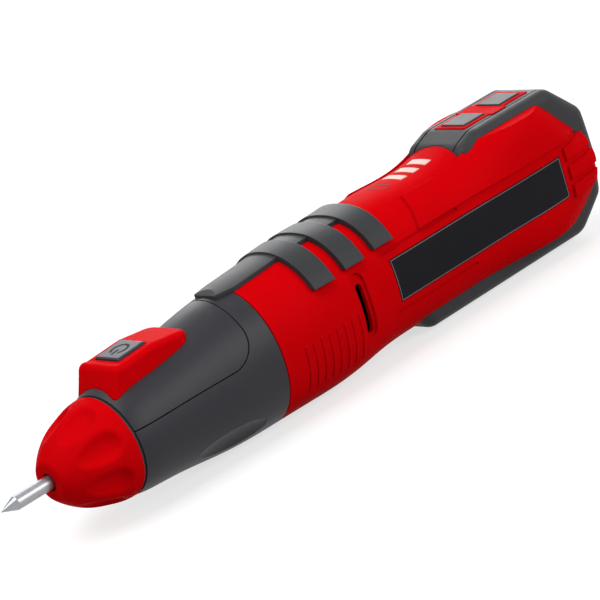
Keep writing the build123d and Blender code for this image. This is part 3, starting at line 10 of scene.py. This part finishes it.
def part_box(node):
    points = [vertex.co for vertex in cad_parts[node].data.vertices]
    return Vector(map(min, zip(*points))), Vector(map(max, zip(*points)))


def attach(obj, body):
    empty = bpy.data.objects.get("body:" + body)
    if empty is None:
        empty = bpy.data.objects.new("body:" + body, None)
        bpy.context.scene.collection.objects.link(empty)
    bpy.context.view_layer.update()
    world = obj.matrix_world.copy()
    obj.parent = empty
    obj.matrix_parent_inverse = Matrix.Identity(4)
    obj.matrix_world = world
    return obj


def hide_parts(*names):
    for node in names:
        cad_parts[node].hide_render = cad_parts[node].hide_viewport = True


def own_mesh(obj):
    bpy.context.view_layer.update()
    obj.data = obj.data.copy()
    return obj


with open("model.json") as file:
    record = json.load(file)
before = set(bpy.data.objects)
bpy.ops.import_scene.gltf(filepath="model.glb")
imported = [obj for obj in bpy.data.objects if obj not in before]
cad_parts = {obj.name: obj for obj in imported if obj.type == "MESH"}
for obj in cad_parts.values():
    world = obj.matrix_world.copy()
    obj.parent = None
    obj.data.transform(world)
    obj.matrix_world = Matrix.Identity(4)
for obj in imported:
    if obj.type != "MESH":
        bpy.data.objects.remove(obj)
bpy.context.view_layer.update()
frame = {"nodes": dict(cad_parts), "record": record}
nodes = frame["nodes"]

# Metres in a millimetre. Sizes below are in millimetres, apart from those of the studio
MM = 0.001


# Colours, nodes and the shared end of every material

# Length of one wave of a wave texture at scale 1
WAVE_LENGTH = pi / 10
# Cosine of the lean at which an edge takes its full painted edge colour, a painted highlight
FULL_EDGE_PAINT = 0.8
EDGE_SAMPLES = 4


def linear(code):
    """An sRGB hex colour as the linear colour that a shader takes."""
    parts = [int(code[at:at + 2], 16) / 255 for at in (1, 3, 5)]
    return [p / 12.92 if p <= 0.04045 else ((p + 0.055) / 1.055) ** 2.4 for p in parts] + [1.0]


def add(tree, kind, values=None, **settings):
    """One node with its settings. A value that is a socket is linked, and any other is set."""
    node = tree.nodes.new("ShaderNode" + kind)
    for name, value in settings.items():
        setattr(node, name, value)
    for socket, value in (values or {}).items():
        if isinstance(value, bpy.types.NodeSocket):
            tree.links.new(value, node.inputs[socket])
        else:
            node.inputs[socket].default_value = value
    return node


def grain_scale(size):
    """Texture scale at which one feature is about so many millimetres across."""
    return 1 / (size * MM)


def line_scale(pitch):
    """Scale of a wave texture whose lines lie so many millimetres apart."""
    return WAVE_LENGTH / (pitch * MM)


def blank(name):
    """A new material, its empty node tree, and the place of each point on the object."""
    material = bpy.data.materials.new(name)
    material.use_nodes = True
    tree = material.node_tree
    tree.nodes.clear()
    return material, tree, add(tree, "TexCoord").outputs["Object"]


def surfaced(tree, tone, relief, colours, sheen, *, depth, edge, edge_paint, shader):
    """The shared end of a material. Its colour and roughness follow the tone. Its fine relief is so many
    millimetres deep, and its edges are rounded off by so many and given a painted highlight: a paler colour
    mixed in by the share edge_paint (on the milky acrylic a darker pink edge)."""
    dark, light, painted_edge_colour = colours
    base = add(tree, "Mix", {0: tone, 6: linear(dark), 7: linear(light)}, data_type="RGBA")
    gloss = add(tree, "MapRange", {"Value": tone, "To Min": sheen[0], "To Max": sheen[1]})
    rounded = add(tree, "Bevel", {"Radius": edge * MM}, samples=EDGE_SAMPLES)
    # Painted highlight: at the edges, where the rounded normal leans from the true one, the colour is mixed
    # paler
    flat = add(tree, "NewGeometry")
    turn = {0: rounded.outputs["Normal"], 1: flat.outputs["Normal"]}
    lean = add(tree, "VectorMath", turn, operation="DOT_PRODUCT")
    limits = {"From Min": FULL_EDGE_PAINT, "From Max": 1.0, "To Min": edge_paint, "To Max": 0.0}
    painted_edge_mask = add(tree, "MapRange", {"Value": lean.outputs["Value"]} | limits)
    mixed = {0: painted_edge_mask.outputs["Result"], 6: base.outputs[2], 7: linear(painted_edge_colour)}
    colour = add(tree, "Mix", mixed, data_type="RGBA")
    raised = {"Height": relief, "Distance": depth * MM, "Strength": 1.0}
    bumped = add(tree, "Bump", raised | {"Normal": rounded.outputs["Normal"]})
    sockets = {
        "Base Color": colour.outputs[2],
        "Roughness": gloss.outputs["Result"],
        "Normal": bumped.outputs["Normal"],
    }
    bsdf = add(tree, "BsdfPrincipled", sockets | shader)
    add(tree, "OutputMaterial", {"Surface": bsdf.outputs["BSDF"]})


# Plastics and rubber of the outside


def grained_abs(name, colours, sheen):
    """ABS, dyed through and moulded in a spark-eroded tool: an even deep colour, and a fine grain that
    swallows nearly all of the gloss. The real grain of 0.15 mm is drawn at 0.4 mm, so that it shows."""
    material, tree, place = blank(name)
    grain = add(tree, "TexNoise", {"Vector": place, "Scale": grain_scale(0.4), "Detail": 2.0})
    cloud = add(tree, "TexNoise", {"Vector": place, "Scale": grain_scale(18), "Detail": 3.0})
    surfaced(tree, cloud.outputs["Fac"], grain.outputs["Fac"], colours, sheen,
             depth=0.012, edge=0.35, edge_paint=0.3, shader={"IOR": 1.53, "Specular IOR Level": 0.003})
    return material


def glass_filled_nylon(name, colours, sheen):
    """Glass-filled nylon, moulded: satin, faintly cloudy from the fibres under its skin, with a fine
    leather grain. The real grain of 0.2 mm is drawn at 0.5 mm, so that it shows."""
    material, tree, place = blank(name)
    cells = {"Vector": place, "Scale": grain_scale(0.5)}
    grain = add(tree, "TexVoronoi", cells, feature="SMOOTH_F1")
    fibres = add(tree, "TexNoise", {"Vector": place, "Scale": grain_scale(2.5), "Detail": 6.0})
    surfaced(tree, fibres.outputs["Fac"], grain.outputs["Distance"], colours, sheen,
             depth=0.02, edge=0.3, edge_paint=0.25, shader={"IOR": 1.53, "Specular IOR Level": 0.2})
    return material


def moulded_rubber(name, colours, sheen):
    """Thermoplastic rubber, moulded: matt, greyed in patches by a powdery bloom, with a fine grain.
    The real grain of 0.2 mm is drawn at 0.45 mm, so that it shows."""
    material, tree, place = blank(name)
    grain = add(tree, "TexNoise", {"Vector": place, "Scale": grain_scale(0.45), "Detail": 3.0})
    bloom = add(tree, "TexNoise", {"Vector": place, "Scale": grain_scale(7), "Detail": 5.0})
    surfaced(tree, bloom.outputs["Fac"], grain.outputs["Fac"], colours, sheen,
             depth=0.022, edge=0.4, edge_paint=0.35, shader={"IOR": 1.52, "Specular IOR Level": 0.16})
    return material


def printed_film(name, colours, sheen):
    """Screen-printed polyester film: an even dark print with a faint orange peel and a low sheen.
    The real peel of 0.3 mm is drawn at 0.8 mm, so that it shows."""
    material, tree, place = blank(name)
    peel = add(tree, "TexNoise", {"Vector": place, "Scale": grain_scale(0.8), "Detail": 1.0})
    ink = add(tree, "TexNoise", {"Vector": place, "Scale": grain_scale(9), "Detail": 2.0})
    surfaced(tree, ink.outputs["Fac"], peel.outputs["Fac"], colours, sheen,
             depth=0.006, edge=0.1, edge_paint=0.2, shader={"IOR": 1.57, "Specular IOR Level": 0.02})
    return material


def milky_acrylic(name, colours, sheen):
    """Light-scattering acrylic, moulded: milky and smooth, with a faint haze about 1.5 mm across within."""
    material, tree, place = blank(name)
    haze = add(tree, "TexNoise", {"Vector": place, "Scale": grain_scale(1.5), "Detail": 2.0})
    surfaced(tree, haze.outputs["Fac"], haze.outputs["Fac"], colours, sheen,
             depth=0.004, edge=0.2, edge_paint=0.2, shader={"IOR": 1.49, "Specular IOR Level": 0.01})
    return material


# Metals


def ground_steel(name, colours, sheen):
    """Steel ground between centres: faint grinding lines round its axis, which streak the highlight.
    The real lines of 0.02 mm are drawn at 0.12 mm, so that they show."""
    material, tree, place = blank(name)
    wave = {"Vector": place, "Scale": line_scale(0.12), "Distortion": 6.0, "Detail": 3.0}
    grinding = add(tree, "TexWave", wave, bands_direction="X")
    cloud = add(tree, "TexNoise", {"Vector": place, "Scale": grain_scale(1.8), "Detail": 4.0})
    surfaced(tree, cloud.outputs["Fac"], grinding.outputs["Fac"], colours, sheen,
             depth=0.0006, edge=0.1, edge_paint=0.3, shader={"Metallic": 1.0})
    return material


def plated_metal(name, colours, sheen):
    """Pressed or turned metal under a thin bright plate: a soft shine, clouded where the plate is thin.
    The real grit of 0.05 mm is drawn at 0.25 mm, so that it shows."""
    material, tree, place = blank(name)
    cloud = add(tree, "TexNoise", {"Vector": place, "Scale": grain_scale(3.5), "Detail": 4.0})
    grit = add(tree, "TexNoise", {"Vector": place, "Scale": grain_scale(0.25), "Detail": 1.0})
    surfaced(tree, cloud.outputs["Fac"], grit.outputs["Fac"], colours, sheen,
             depth=0.003, edge=0.15, edge_paint=0.3, shader={"Metallic": 1.0})
    return material


def sintered_bronze(name, colours, sheen):
    """Bronze powder, pressed and sintered: open pores about 0.3 mm apart, dark with the oil in them."""
    material, tree, place = blank(name)
    pores = add(tree, "TexVoronoi", {"Vector": place, "Scale": grain_scale(0.3)})
    surfaced(tree, pores.outputs["Distance"], pores.outputs["Distance"], colours, sheen,
             depth=0.02, edge=0.15, edge_paint=0.3, shader={"Metallic": 1.0})
    return material


def wound_copper(name, colours, sheen):
    """Enamelled copper wire, wound: rows of wire 0.4 mm thick, varnished, with dark gaps between."""
    material, tree, place = blank(name)
    wave = {"Vector": place, "Scale": line_scale(0.4)}
    rows = add(tree, "TexWave", wave, bands_direction="DIAGONAL")
    surfaced(tree, rows.outputs["Fac"], rows.outputs["Fac"], colours, sheen,
             depth=0.08, edge=0.1, edge_paint=0.2, shader={"Metallic": 1.0})
    return material


def stacked_steel(name, colours, sheen):
    """Silicon-steel sheets in a stack, blue-grey from annealing: sheets 0.5 mm thick, with dark lines
    between."""
    material, tree, place = blank(name)
    wave = {"Vector": place, "Scale": line_scale(0.5)}
    sheets = add(tree, "TexWave", wave, bands_direction="X")
    surfaced(tree, sheets.outputs["Fac"], sheets.outputs["Fac"], colours, sheen,
             depth=0.03, edge=0.1, edge_paint=0.2, shader={"Metallic": 1.0})
    return material


# Materials of the inside


def pressed_powder(name, colours, sheen):
    """Ferrite or carbon, pressed and fired: dull, with a fine sooty grain of about 0.25 mm."""
    material, tree, place = blank(name)
    soot = add(tree, "TexNoise", {"Vector": place, "Scale": grain_scale(0.25), "Detail": 4.0})
    surfaced(tree, soot.outputs["Fac"], soot.outputs["Fac"], colours, sheen,
             depth=0.02, edge=0.15, edge_paint=0.3, shader={"IOR": 1.6})
    return material


def board_laminate(name, colours, sheen):
    """Glass-epoxy laminate under solder mask: tracks about 2 mm apart that show through a glossy green
    skin."""
    material, tree, place = blank(name)
    bricks = {"Vector": place, "Scale": grain_scale(4), "Mortar Size": 0.06}
    tracks = add(tree, "TexBrick", bricks)
    surfaced(tree, tracks.outputs["Fac"], tracks.outputs["Fac"], colours, sheen,
             depth=0.02, edge=0.1, edge_paint=0.2, shader={"IOR": 1.54})
    return material


def shrunk_vinyl(name, colours, sheen):
    """Vinyl sleeve shrunk on a cell: glossy, with shallow wrinkles about 5 mm apart."""
    material, tree, place = blank(name)
    wrinkles = add(tree, "TexNoise", {"Vector": place, "Scale": grain_scale(5), "Detail": 2.0})
    surfaced(tree, wrinkles.outputs["Fac"], wrinkles.outputs["Fac"], colours, sheen,
             depth=0.06, edge=0.3, edge_paint=0.2, shader={"IOR": 1.53})
    return material


# Each finish by its slot: dark, light and painted edge colour (the painted highlight), then the roughness
# of the dark and the light
FINISHES = {
    "red_shell": grained_abs("red_abs", ("#C60208", "#D0030B", "#E8162A"), (0.4, 0.48)),
    "grey_grip": glass_filled_nylon("grey_nylon", ("#26252A", "#2D2C32", "#504F56"), (0.4, 0.5)),
    "black_rubber": moulded_rubber("dark_rubber", ("#2C2D2F", "#36373A", "#55565A"), (0.44, 0.56)),
    "button_grey": glass_filled_nylon("button_nylon", ("#2D313A", "#363A44", "#5C606E"), (0.4, 0.48)),
    "label_film": printed_film("dark_film", ("#1D1D21", "#222226", "#4C4C52"), (0.42, 0.5)),
    "needle_steel": ground_steel("ground_steel", ("#8F9093", "#A2A3A6", "#C0C0C3"), (0.3, 0.4)),
    "carbide": ground_steel("ground_carbide", ("#8B8D91", "#9D9FA3", "#BCBDC0"), (0.24, 0.34)),
    "spring_steel": plated_metal("drawn_spring_wire", ("#8E9093", "#A9ABAE", "#C8C9CB"), (0.24, 0.34)),
    "zinc_screw": plated_metal("zinc_plate", ("#A7ABB0", "#C2C5C9", "#DADCDF"), (0.24, 0.38)),
    "cast_aluminium": plated_metal("turned_aluminium", ("#B0B2B5", "#C6C8CA", "#DEDFE0"), (0.3, 0.44)),
    "bronze": sintered_bronze("oiled_bronze", ("#8A5F30", "#C08A4A", "#D8AA6C"), (0.38, 0.5)),
    "hard_steel": ground_steel("hardened_steel", ("#85878B", "#9EA0A4", "#BBBDC0"), (0.22, 0.32)),
    "zinc_can": plated_metal("drawn_motor_can", ("#56595C", "#6A6D70", "#8E9092"), (0.42, 0.54)),
    "black_nylon": glass_filled_nylon("black_nylon", ("#1C1D1F", "#242527", "#46474A"), (0.42, 0.5)),
    "ferrite": pressed_powder("fired_ferrite", ("#38393D", "#4A4B4F", "#66676B"), (0.55, 0.7)),
    "core_steel": stacked_steel("stacked_core", ("#565A61", "#8F949C", "#B0B4BA"), (0.5, 0.38)),
    "copper": wound_copper("enamelled_copper", ("#7E3F1C", "#C9733C", "#E09A66"), (0.4, 0.26)),
    "carbon": pressed_powder("pressed_carbon", ("#252629", "#343538", "#4C4D50"), (0.5, 0.66)),
    "clear_window": milky_acrylic("milky_acrylic", ("#EDB4AA", "#F5CFC7", "#E8958A"), (0.26, 0.34)),
    "light_chip": milky_acrylic("light_chip_resin", ("#E6D998", "#F3EBC0", "#FBF6DC"), (0.2, 0.28)),
    "board": board_laminate("green_laminate", ("#1F6B3C", "#124A28", "#4C9468"), (0.3, 0.42)),
    "cell_wrap": shrunk_vinyl("blue_sleeve", ("#234F90", "#2C5FA8", "#5C86C4"), (0.22, 0.3)),
    "nickel": plated_metal("nickel_plate", ("#B4B0A5", "#CFCBC0", "#E4E1D8"), (0.18, 0.32)),
    "white_nylon": glass_filled_nylon("white_nylon", ("#D2D2CC", "#DEDED9", "#F0F0EC"), (0.38, 0.48)),
}
# A pale line along the label edges: a painted highlight, in the film finish
EDGE_HIGHLIGHT_PAINT = printed_film("painted_edge_highlight", ("#766568", "#857376", "#948386"), (0.4, 0.5))
RED_INK = printed_film("dark_red_ink", ("#6A0106", "#740208", "#8A0C14"), (0.42, 0.5))
BLACK_INK = printed_film("black_ink", ("#131418", "#191A1E", "#2A2B30"), (0.4, 0.5))

for entry in frame["record"]["subparts"]:
    mesh = nodes[entry["node"]].data
    mesh.materials.clear()
    mesh.materials.append(FINISHES[entry["material_slot"]])


# Tools for pieces, printed marks and painted highlight lines

# How far a print reaches into its surface and stands above it, and the spacing of its points
MARK_SINK = 0.02
MARK_RISE = 0.03
MARK_STEP = 0.4
# Height above a surface from which a print is laid on it
MARK_CLEAR = 5.0
# Least cosine by which a line's corner is drawn out to its mitre
SHARPEST_MITRE = 0.5
DOWN = (0, 0, -1)


def added(name, data):
    """A new object in the scene."""
    piece = bpy.data.objects.new(name, data)
    bpy.context.scene.collection.objects.link(piece)
    return piece


def corners_of(node):
    """A node's lowest and highest corner, in millimetres."""
    low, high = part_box(node)
    return Vector(low) / MM, Vector(high) / MM


def surface_of(names):
    """The surface of one or more nodes, to lay marks on."""
    points = []
    faces = []
    for name in names:
        mesh = nodes[name].data
        faces += [[len(points) + corner for corner in face.vertices] for face in mesh.polygons]
        points += [vertex.co for vertex in mesh.vertices]
    return BVHTree.FromPolygons(points, faces)


def spaced(points, step):
    """A line with more points, none further apart than the step."""
    out = [points[0]]
    for first, second in zip(points, points[1:]):
        count = max(1, round((second - first).length / step + 0.5))
        out += [first.lerp(second, k / count) for k in range(1, count + 1)]
    return out


def line_sections(surface, points, closed, width, toward):
    """The four corners of a printed line's section at each of its points: two in the surface, two above."""
    sections = []
    for at, point in enumerate(points):
        before = points[at - 1] if at or closed else point
        after = points[(at + 1) % len(points)] if closed or at + 1 < len(points) else point
        along = (after - before).normalized()
        side = along.cross(toward).normalized() * width * MM / 2
        onward = (after - point).normalized() if after != point else along
        mitre = 1 / max(SHARPEST_MITRE, along.dot(onward))
        feet = [surface.ray_cast(point + way * side * mitre, toward)[0] for way in (-1, 1)]
        over = [foot - toward * MARK_RISE * MM for foot in feet]
        sunk = [foot + toward * MARK_SINK * MM for foot in feet]
        sections.append((sunk[0], over[0], over[1], sunk[1]))
    return sections


def laid_strokes(name, under, body, ink, strokes, width, facing):
    """Lines of one width, printed marks and painted highlights alike, laid along the facing on the nodes
    under them. Each stroke is a list of points in millimetres, clear of the surface, and the line stands a
    hair above it."""
    surface = surface_of(under)
    toward = Vector(facing)
    built = bmesh.new()
    for stroke in strokes:
        points = spaced([Vector(p) * MM for p in stroke], MARK_STEP * MM)
        closed = (points[0] - points[-1]).length < MARK_SINK * MM
        if closed:
            points.pop()
        sections = line_sections(surface, points, closed, width, toward)
        rows = [[built.verts.new(corner) for corner in section] for section in sections]
        pairs = list(zip(rows, rows[1:])) + ([(rows[-1], rows[0])] if closed else [])
        for first, second in pairs:
            for k in range(4):
                built.faces.new((first[k], first[(k + 1) % 4], second[(k + 1) % 4], second[k]))
        if not closed:
            built.faces.new(rows[0])
            built.faces.new(list(reversed(rows[-1])))
    bmesh.ops.recalc_face_normals(built, faces=built.faces)
    mesh = bpy.data.meshes.new(name)
    built.to_mesh(mesh)
    built.free()
    mesh.materials.append(ink)
    piece = added(name, mesh)
    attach(piece, body)


# Power symbol: the ring's radius and the half angle of its gap, and the stroke's ends in ring radii
SYMBOL_RADIUS = 2.5
SYMBOL_GAP = 36
SYMBOL_STEPS = 40
SYMBOL_STROKE = 0.85
STROKE_OUT = 1.25
STROKE_IN = 0.15


def power_symbol():
    """A broken ring on the button, with a stroke through its gap."""
    low, high = corners_of("power_button")
    middle = (low.x + high.x) / 2
    above = high.z + MARK_CLEAR
    ring = []
    for step in range(SYMBOL_STEPS + 1):
        angle = radians(180 + SYMBOL_GAP + (360 - 2 * SYMBOL_GAP) * step / SYMBOL_STEPS)
        ring.append((middle + SYMBOL_RADIUS * cos(angle), SYMBOL_RADIUS * sin(angle), above))
    stroke = [(middle - SYMBOL_RADIUS * out, 0, above) for out in (STROKE_OUT, STROKE_IN)]
    laid_strokes("power_symbol", ["power_button"], "button", BLACK_INK,
                 [ring, stroke], SYMBOL_STROKE, DOWN)


# Painted highlight along a label's edge: the pale line's inset and width
LINE_INSET = 0.2
LINE_WIDTH = 0.26


def label_edge_highlight(node, side):
    """A painted highlight: a pale line just inside the label's edge, laid from the side that the label
    faces.
    """
    low, high = corners_of(node)
    away = -side * (max(abs(low.y), abs(high.y)) + MARK_CLEAR)
    front, rear = low.x + LINE_INSET, high.x - LINE_INSET
    bottom, top = low.z + LINE_INSET, high.z - LINE_INSET
    line = [(front, away, bottom), (rear, away, bottom), (rear, away, top), (front, away, top)]
    laid_strokes(node.replace("plate", "painted_highlight"), [node], "casing", EDGE_HIGHLIGHT_PAINT,
                 [line + line[:1]], LINE_WIDTH, (0, side, 0))


# Battery sign: how far ahead of the indicator bars and to the side it lies, and its own sizes
SIGN_AHEAD = 4.6
SIGN_SHIFT = -1.0
SIGN_HALF_LENGTH = 3.1
SIGN_HALF_WIDTH = 1.6
SIGN_TIP_LENGTH = 0.7
SIGN_TIP_HALF_WIDTH = 0.8
SIGN_STROKE = 0.5


def battery_sign():
    """The outline of a battery across the body, with a tip at its far end."""
    low, high = corners_of("indicator_window")
    above = high.z + MARK_CLEAR
    near, far = SIGN_SHIFT - SIGN_HALF_LENGTH, SIGN_SHIFT + SIGN_HALF_LENGTH
    half = [(SIGN_HALF_WIDTH, near), (SIGN_HALF_WIDTH, far)]
    half += [(SIGN_TIP_HALF_WIDTH, far), (SIGN_TIP_HALF_WIDTH, far + SIGN_TIP_LENGTH)]
    outline = half + [(-along, across) for along, across in reversed(half)]
    sign = [(low.x - SIGN_AHEAD + along, across, above) for along, across in outline]
    laid_strokes("battery_sign", ["body_shell_left", "body_shell_right"], "casing", RED_INK,
                 [sign + sign[:1]], SIGN_STROKE, DOWN)


def return_spring_coil():
    """The return spring, as a copy with a mesh of its own, attached to the casing in place of the packed
    part.
    """
    coil = added("return_spring_coil", nodes["return_spring"].data.copy())
    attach(coil, "casing")
    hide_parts("return_spring")
    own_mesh(coil)


power_symbol()
# Painted highlights along the edges of both labels
label_edge_highlight("label_plate_left", 1)
label_edge_highlight("label_plate_right", -1)
battery_sign()
return_spring_coil()


# Camera at the photograph's angle and roll. It aims at a point on the needle's axis
AIM_X = -1.025
DISTANCE = 900
LENS = 192.02
ROLL = radians(-18.17)
SHIFT = (-0.007, 0.0418)
TOWARD_CAMERA = Vector((-0.5807, -0.7521, 0.3115)).normalized()

# Studio, in metres and watts: each lamp's place, width and power, and half the floor's width
LAMPS = {
    "top_box": ((-0.4, 0.05, 1.15), 0.9, 10.5),
    "front_box": ((0.5, -1.15, 0.65), 0.8, 9.0),
    "rear_box": ((0.75, 0.75, 0.45), 0.65, 5.8),
}
HALF_FLOOR = 6.0
# What lifts the floor to white where it is seen, and the surround as it lights and as it is seen
FLOOR_LIFT = 0.66
SURROUND_LIGHT = 0.3
SURROUND_SEEN = 1.0
WHITE = linear("#FFFFFF")


def photo_camera(target):
    """The camera, aimed at the target."""
    data = bpy.data.cameras.new("camera")
    data.sensor_fit = "HORIZONTAL"
    data.lens = LENS
    data.shift_x, data.shift_y = SHIFT
    level = Vector((0, 0, 1)).cross(TOWARD_CAMERA).normalized()
    upright = TOWARD_CAMERA.cross(level)
    right = level * cos(ROLL) + upright * sin(ROLL)
    up = upright * cos(ROLL) - level * sin(ROLL)
    turned = Matrix((right, up, TOWARD_CAMERA)).transposed().to_4x4()
    camera = added("camera", data)
    camera.matrix_world = Matrix.Translation(target + TOWARD_CAMERA * DISTANCE * MM) @ turned
    bpy.context.scene.camera = camera


def soft_box(name, place, width, power, target):
    """A square lamp, aimed at the target."""
    data = bpy.data.lights.new(name, "AREA")
    data.size = width
    data.energy = power
    light = added(name, data)
    light.location = place
    light.rotation_euler = (target - Vector(place)).to_track_quat("-Z", "Y").to_euler()


def seen(tree):
    """1 for what the camera sees straight on, in gloss or through glass, and 0 for light on the object."""
    path = add(tree, "LightPath")
    sums = {0: path.outputs["Is Camera Ray"], 1: path.outputs["Is Glossy Ray"]}
    direct = add(tree, "Math", sums, operation="ADD", use_clamp=True)
    sums = {0: direct.outputs["Value"], 1: path.outputs["Is Transmission Ray"]}
    return add(tree, "Math", sums, operation="ADD", use_clamp=True).outputs["Value"]


def painted_board(name):
    """Board under matt paint, faintly clouded every 30 mm or so, which shows white and takes a shadow."""
    material, tree, place = blank(name)
    cloud = add(tree, "TexNoise", {"Vector": place, "Scale": grain_scale(30), "Detail": 3.0})
    paint = {0: cloud.outputs["Fac"], 6: linear("#A8A8A8"), 7: linear("#ACACAC")}
    colour = add(tree, "Mix", paint, data_type="RGBA")
    lift = add(tree, "MapRange", {"Value": seen(tree), "To Max": FLOOR_LIFT})
    sockets = {
        "Base Color": colour.outputs[2],
        "Roughness": 0.9,
        "Specular IOR Level": 0.1,
        "Emission Color": WHITE,
        "Emission Strength": lift.outputs["Result"],
    }
    bsdf = add(tree, "BsdfPrincipled", sockets)
    add(tree, "OutputMaterial", {"Surface": bsdf.outputs["BSDF"]})
    return material


def studio_floor():
    """A plain pale floor at the height that the object lies on."""
    corners = [(x * HALF_FLOOR, y * HALF_FLOOR, 0) for x, y in ((-1, -1), (1, -1), (1, 1), (-1, 1))]
    mesh = bpy.data.meshes.new("floor")
    mesh.from_pydata(corners, [], [(0, 1, 2, 3)])
    mesh.materials.append(painted_board("painted_board"))
    added("floor", mesh)


def studio_surround():
    """A white surround that lights the object less than it shows."""
    world = bpy.data.worlds.new("studio")
    bpy.context.scene.world = world
    world.use_nodes = True
    tree = world.node_tree
    tree.nodes.clear()
    levels = {"Value": seen(tree), "To Min": SURROUND_LIGHT, "To Max": SURROUND_SEEN}
    strength = add(tree, "MapRange", levels).outputs["Result"]
    surround = add(tree, "Background", {"Color": WHITE, "Strength": strength})
    add(tree, "OutputWorld", {"Surface": surround.outputs["Background"]})


low, high = corners_of("engraving_needle")
target = Vector((AIM_X, 0, (low.z + high.z) / 2)) * MM
photo_camera(target)
for name, (place, width, power) in LAMPS.items():
    soft_box(name, place, width, power, target)
studio_floor()
studio_surround()
bpy.context.scene.view_settings.view_transform = "Standard"
